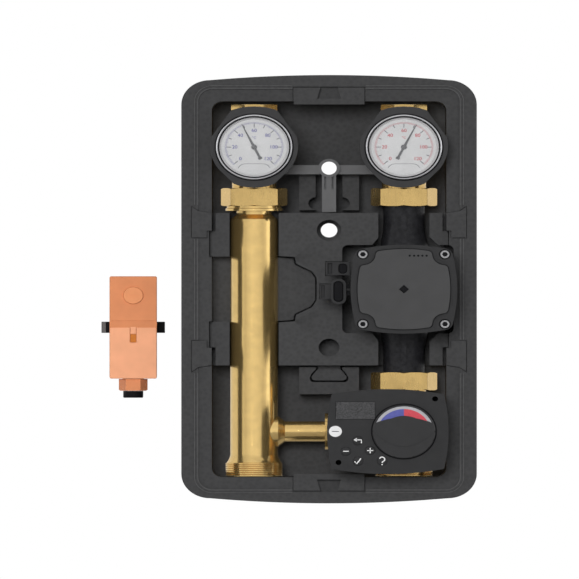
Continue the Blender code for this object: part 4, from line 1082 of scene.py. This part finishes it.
def icon(node, centre, front):
    """The raised symbol on one key."""
    strokes = {
        "key_minus": [[(-2.3, 0), (2.3, 0)]],
        "key_plus": [[(-2.6, 0), (2.6, 0)], [(0, -2.6), (0, 2.6)]],
        "key_ok": [[(-2.9, -0.3), (-1.1, -2.6), (2.4, 2.7)]],
        "key_back": [[(-1.6, 0.9), (3.0, 0.9), (3.0, -2.4)]],
        "key_help": [arc((0, 1.7), 2.2, 165, -50, 14) + [(0.3, -0.7), (0, -2.0)], [(0, -3.0), (0, -4.0)]],
    }
    width = 0.8 if node in ("key_plus", "key_minus") else 1.0
    parts = []
    for points in strokes[node]:
        parts.append(prism("symbol", shifted(stroke(points, width), centre), front + 0.2, front))
    if node == "key_back":
        head = [(-3.6, 0.9), (-0.8, 2.9), (-0.8, -1.1)]
        parts.append(prism("symbol", shifted(head, centre), front + 0.2, front))
    return parts


def build_keys(front):
    for node in KEYS:
        centre = facing(node)
        back = high(node).y
        profile = [(0, back), (5.6, back), (5.6, back - 0.9), (KEY_R, back - 0.9), (KEY_R, front + 0.2),
                   (3.8, front - 0.1), (0, front - 0.25)]
        cap = turned(node + "_button", profile, centre, "Y", 64)
        body = node + "_cap"
        finish(cap, body, "control", node)
        symbol = merged(node + "_symbol", icon(node, centre, front - 0.4))
        finish(symbol, body, "white")


def lens_outline(centre, half, rise, drop, steps=28):
    """A grip between two shallow arcs that meet at the knob's sides."""
    points = []
    for bulge, direction in ((rise, 1), (-drop, -1)):
        for i in range(steps):
            t = direction * (-1 + 2 * i / steps)
            points.append((centre[0] + half * t, centre[1] + bulge * (1 - t * t)))
    return points


def build_knob(centre):
    """Turning knob: a lens-shaped grip under a window with the cold-to-hot band."""
    back, front = depths("controller_knob")
    seat = front + 10.7
    face = front + 1.4
    profile = [(0, back), (5, back), (5, seat), (26.1, seat), (KNOB_R, seat - 0.3), (KNOB_R, face + 0.8),
               (25.6, face), (0, face)]
    knob = turned("control_knob", profile, centre, "Y", 128)
    cut(knob, prism("window", band_outline(centre, 24.8, 0), face + 1.6, face - 3))
    for degrees in (-20, -38, -142, -160, -72, -108, 180, 0):
        spot = arc(centre, KNOB_R, degrees, degrees, 1)[0]
        cut(knob, rod("nick", 0.9, face + 4, face - 3, spot, steps=12))
    grip = prism("grip", lens_outline(centre, 25.2, 15.4, 14.9), face + 0.5, front)
    dome = [(0, face + 0.6), (25.6, face + 0.6), (25.6, face - 0.3), (23, front + 0.9), (14, front + 0.15),
            (0, front)]
    common(grip, turned("dome", dome, centre, "Y", 96))
    join(knob, grip)
    finish(knob, "mixing_shaft", "knob", "controller_knob", edges=(0.5, 3, 34))
    floor = face + 1.5
    rim = prism("knob_band_grey", band_outline(centre, 24.7, 0.1), floor, floor - 0.3)
    finish(rim, "mixing_shaft", "band")
    for name, side in (("cold", -1), ("hot", 1)):
        band = prism("knob_band_" + name, band_outline(centre, 22.0, 0.3), floor - 0.25, floor - 0.6)
        x = (centre[0], centre[0] + side * 40)
        common(band, box("half", x, (floor + 3, floor - 3), (centre[1], centre[1] + 40)))
        finish(band, "mixing_shaft", "blue" if side < 0 else "red")


def band_outline(centre, radius, inset, steps=40):
    """The crescent between a circle and the shallow arc of the knob's grip."""
    rise = 8.7 + inset
    start = math.degrees(math.asin(rise / radius))
    reach = radius * math.cos(math.radians(start))
    outline = arc(centre, radius, start, 180 - start, steps)
    for i in range(1, steps):
        t = -1 + 2 * i / steps
        outline.append((centre[0] + reach * t, centre[1] + rise + 5.2 * (1 - t * t)))
    return outline


# ---------------------------------------------------------------- thermostat

def build_thermostat():
    base_low, base_high = low("thermostat_base"), high("thermostat_base")
    x = middle("thermostat_base").x
    half = (base_high.x - base_low.x) / 2
    top, foot = base_high.z, base_low.z
    centre = (x, (top + foot) / 2)
    tall = (top - foot) / 2
    split = base_low.y
    base = prism("stat_base", rounded(centre, half, tall, 2, 6), 0, split)
    cut(base, box("strap_way", (x - 30, x + 30), (-2, -5.6), (-43.2, -31.6)))
    finish(base, "thermostat", "orange", "thermostat_base", edges=(0.6, 2))
    front = low("thermostat_cover").y
    ledge = -31.4
    seam = split - 0.3
    outline = rounded((x, (top + ledge) / 2), half, (top - ledge) / 2, 1.6, 6)
    upper = prism("stat_upper_cover", outline, seam, front)
    finish(upper, "thermostat", "orange", "thermostat_cover", edges=(1.0, 3))
    outline = rounded((x, (-37.6 + foot) / 2), half - 0.2, (-37.6 - foot) / 2, 1.2, 6)
    lower = prism("stat_lower_cover", outline, seam, front + 1.5)
    cut(lower, box("window_seat", (x - 2.6, x + 2.6), (front + 5, front), (-52.3, -36)))
    finish(lower, "thermostat", "peach", edges=(0.7, 3))
    ramp = [(seam, ledge + 0.5), (front + 0.6, ledge + 0.5), (front + 1.9, -38.2), (seam, -38.2)]
    step = prism("stat_ledge", ramp, x - half + 0.15, x + half - 0.15, "X")
    finish(step, "thermostat", "orange", sharp=20)
    tab = box("stat_window_tab", (x - 2.4, x + 2.4), (front + 3, front + 1.7), (-43.9, -36.8))
    finish(tab, "thermostat", "peach", edges=(0.3, 2))
    pane = box("stat_window_pane", (x - 2.4, x + 2.4), (front + 4, front + 2.2), (-52.1, -44.2))
    finish(pane, "thermostat", "amber", edges=(0.2, 2))
    edge = low("thermostat_strap").x
    strap = box("stat_strap", (edge, high("thermostat_strap").x), (-2.8, -4.8), (-42.9, -31.9))
    finish(strap, "thermostat", "black", "thermostat_strap", edges=(0.4, 2))
    # A lighter grey block over the strap's left end: a painted sheen where the curved strap catches the
    # light.
    outline = [(-4.9, -42.8), (-4.9, -32.0), (-2.6, -32.0), (-2.6, -42.8)]
    sheen_block = prism("stat_strap_sheen", outline, edge + 0.1, edge + 3.9, "X")
    finish(sheen_block, "thermostat", "clip", edges=(0.5, 2))
    build_stat_dial()
    build_stat_gland(x, foot)


def build_stat_dial():
    node = "thermostat_dial"
    centre = facing(node)
    back, front = depths(node)
    profile = [(0, back), (3, back), (3, front + 2), (8.4, front + 2), (8.4, front + 0.6), (7.9, front),
               (0, front)]
    dial = turned("stat_dial", profile, centre, "Y", 64)
    x, z = centre
    cut(dial, box("coin_slot", (x - 5, x + 5), (front + 0.5, front - 1), (z - 0.35, z + 0.35)))
    finish(dial, "thermostat_knob", "dial_orange", node)


def build_stat_gland(x, foot):
    centre = (x, -29)
    profile = [(5, foot + 4), (9, foot + 4), (9, foot - 0.3), (5, foot - 0.3)]
    body = turned("stat_gland", profile, centre, "Z", 64)
    hexagon = arc(centre, 12, 0, 300, 5)
    nut = prism("nut", hexagon, foot - 0.3, foot - 11.9, "Z")
    cone = [(0, foot + 1), (12.1, foot + 1), (12.1, foot - 10.8), (10.6, foot - 12), (0, foot - 12)]
    join(body, common(nut, turned("cone", cone, centre, "Z", 64)))
    cut(body, rod("way", 5, foot + 8, foot - 20, centre, "Z", 40))
    finish(body, "thermostat", "orange", "thermostat_gland", edges=(0.4, 2))
    cap = [(5, foot - 12), (8.4, foot - 12), (8.4, foot - 18), (7.8, foot - 18.8), (5, foot - 18.8)]
    cap = turned("stat_gland_seal", cap, centre, "Z", 64)
    finish(cap, "thermostat", "black")


# ---------------------------------------------------------------- the rest

def dress_frame():
    """Gives each CAD part that stays in view, or inside, its finished material."""
    kept = {"valve_ball": "chrome", "valve_spindle": "brass", "union_gasket": "rubber",
            "pump_impeller": "composite", "pump_rotor": "chrome", "pump_bearing": "steel",
            "pump_stator": "copper", "mixing_rotor": "chrome", "check_valve_disc": "black"}
    for node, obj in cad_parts.items():
        for ending, look in kept.items():
            if node.endswith(ending):
                obj.data.materials.clear()
                obj.data.materials.append(LOOKS[look][1])


def build_stage():
    """A pale floor below the wall-hung group, a white surround and soft studio lights."""
    reach = 3000
    floor_z = -330
    corners = [(-reach, -reach), (reach, -reach), (reach, reach), (-reach, reach)]
    floor = solid("floor", [(x, y, floor_z) for x, y in corners], [[0, 1, 2, 3]])
    look = Look("floor_pale", (0.82, 0.82, 0.82), 0.7)
    look.vary(look.noise(300, 2), 0.02)
    floor.data.materials.append(look.material)
    build_surround()
    add_sun("key", (-0.08, -1, 0.12), 2.1, 14)
    add_sun("fill", (0.3, -1, -0.05), 0.45, 40)
    add_sun("back", (-0.4, 1, 0.5), 1.1, 30)
    wall = high("rear_shell").x - 26.9
    for side in (-1, 1):
        add_glint("edge_strip", (side * wall, -58, 0), (60, 360), side * 90, 0.055)
    add_glint("foot_strip", (0, -58, 27 - high("rear_shell").z), (180, 60), 180, 0.012)


# Brightness of the surround across and upwards, as (place, level) with places from -1 to 1.
ACROSS = ((-1.0, 1.5), (-0.9, 1.45), (-0.82, 0.8), (-0.69, 0.68), (-0.45, 0.86), (-0.24, 1.0), (0.1, 0.94),
          (0.44, 0.84), (0.66, 0.72), (0.82, 0.85), (0.92, 1.4), (1.0, 1.45))
UPWARD = ((-1.0, 0.35), (-0.7, 0.5), (-0.5, 0.7), (-0.3, 1.05), (0.25, 1.0), (0.7, 0.8), (1.0, 0.9))


def build_surround():
    """A white surround: plain to look at, dimmer as light, and banded like a studio in reflections."""
    world = bpy.data.worlds.new("surround")
    world.use_nodes = True
    tree = world.node_tree
    link = tree.links.new
    sky = tree.nodes["Background"]
    place = tree.nodes.new("ShaderNodeTexCoord")
    split = tree.nodes.new("ShaderNodeSeparateXYZ")
    link(place.outputs["Generated"], split.inputs["Vector"])
    bands = tree.nodes.new("ShaderNodeMath")
    bands.operation = "MULTIPLY"
    link(studio_bands(tree, split.outputs["X"], ACROSS), bands.inputs[0])
    link(studio_bands(tree, split.outputs["Z"], UPWARD), bands.inputs[1])
    path = tree.nodes.new("ShaderNodeLightPath")
    shiny = tree.nodes.new("ShaderNodeMix")
    shiny.inputs["A"].default_value = 1.0
    link(path.outputs["Is Glossy Ray"], shiny.inputs["Factor"])
    link(bands.outputs["Value"], shiny.inputs["B"])
    dim = tree.nodes.new("ShaderNodeMix")
    dim.inputs["B"].default_value = 0.2
    link(path.outputs["Is Diffuse Ray"], dim.inputs["Factor"])
    link(shiny.outputs["Result"], dim.inputs["A"])
    link(dim.outputs["Result"], sky.inputs["Strength"])
    sky.inputs["Color"].default_value = (1, 1, 1, 1)
    bpy.context.scene.world = world


def studio_bands(tree, driver, stops):
    """Brightness along one direction of the surround, held at half in a ramp and doubled after it."""
    spread = tree.nodes.new("ShaderNodeMapRange")
    spread.inputs["From Min"].default_value = -1.0
    tree.links.new(driver, spread.inputs["Value"])
    ramp = tree.nodes.new("ShaderNodeValToRGB")
    ramp.color_ramp.interpolation = "EASE"
    elements = ramp.color_ramp.elements
    while len(elements) < len(stops):
        elements.new(0.5)
    for element, (place, level) in zip(elements, stops):
        element.position = (place + 1) / 2
        element.color = (level / 2, level / 2, level / 2, 1)
    tree.links.new(spread.outputs["Result"], ramp.inputs["Fac"])
    double = tree.nodes.new("ShaderNodeMath")
    double.operation = "MULTIPLY"
    double.inputs[1].default_value = 2.0
    tree.links.new(ramp.outputs["Color"], double.inputs[0])
    return double.outputs["Value"]


def add_sun(name, direction, power, angle):
    """A distant soft light from the given direction, with its disc's angle in degrees."""
    lamp = bpy.data.lights.new(name, "SUN")
    lamp.energy = power
    lamp.angle = math.radians(angle)
    obj = bpy.data.objects.new(name, lamp)
    obj.rotation_euler = Vector(direction).to_track_quat("Z", "Y").to_euler()
    obj.visible_glossy = False
    bpy.context.scene.collection.objects.link(obj)


def add_glint(name, place, size, turn, power):
    """A soft strip on one wall of the cavity, turned about Y, that shows only in the brass beside it."""
    lamp = bpy.data.lights.new(name, "AREA")
    lamp.shape = "RECTANGLE"
    lamp.size = size[0] * MM
    lamp.size_y = size[1] * MM
    lamp.energy = power
    obj = bpy.data.objects.new(name, lamp)
    obj.matrix_world = Matrix.Translation(Vector(place) * MM) @ Matrix.Rotation(math.radians(turn), 4, "Y")
    if abs(turn) == 90:
        obj.matrix_world = obj.matrix_world @ Matrix.Rotation(math.radians(90), 4, "Z")
    obj.visible_diffuse = False
    obj.visible_camera = False
    bpy.context.scene.collection.objects.link(obj)


FRAME_WIDTH = 0.5684
CAMERA_SPOT = (-33.0, -2000, -0.3)


def build_camera():
    """A straight-on view without perspective, squeezed sideways.

    The picture that this matches shows every circle about 18 % wider than tall. Leaning the camera's sideways
    axis towards its view axis narrows what it sees across and leaves the height and the direction alone.
    """
    squeeze = 1 / 1.1765
    slant = math.sqrt(1 - squeeze ** 2)
    lens = bpy.data.cameras.new("camera")
    lens.type = "ORTHO"
    lens.ortho_scale = FRAME_WIDTH
    lens.clip_end = 20
    camera = bpy.data.objects.new("camera", lens)
    rig = bpy.data.objects.new("camera_rig", None)
    for obj in (rig, camera):
        bpy.context.scene.collection.objects.link(obj)
    camera.parent = rig
    spot = Matrix.Translation(Vector(CAMERA_SPOT) * MM)
    level = Matrix.Rotation(math.radians(90), 4, "X")
    lean = Matrix(((squeeze, 0, 0, 0), (0, 1, 0, 0), (-slant, 0, 1, 0), (0, 0, 0, 1)))
    camera.matrix_parent_inverse = spot @ level @ lean
    bpy.context.scene.camera = camera


def main():
    bpy.context.scene.view_settings.view_transform = "Standard"
    build_camera()
    build_stage()
    LOOKS.update(make_looks())
    dress_frame()
    build_shell()
    build_insert()
    build_bracket()
    for prefix, x, tint in (("return", LEFT, "print_blue"), ("flow", RIGHT, "print_red")):
        build_valve_body(prefix, x)
        build_handle(prefix, x)
        build_gauge(prefix, x, tint)
        build_union(prefix, x, 1)
    build_union("lower", RIGHT, -1)
    build_pump_casting()
    build_pump_head()
    build_plugs()
    build_return_pipe()
    build_check_spring()
    build_mixing_valve()
    build_controller()
    build_thermostat()


main()
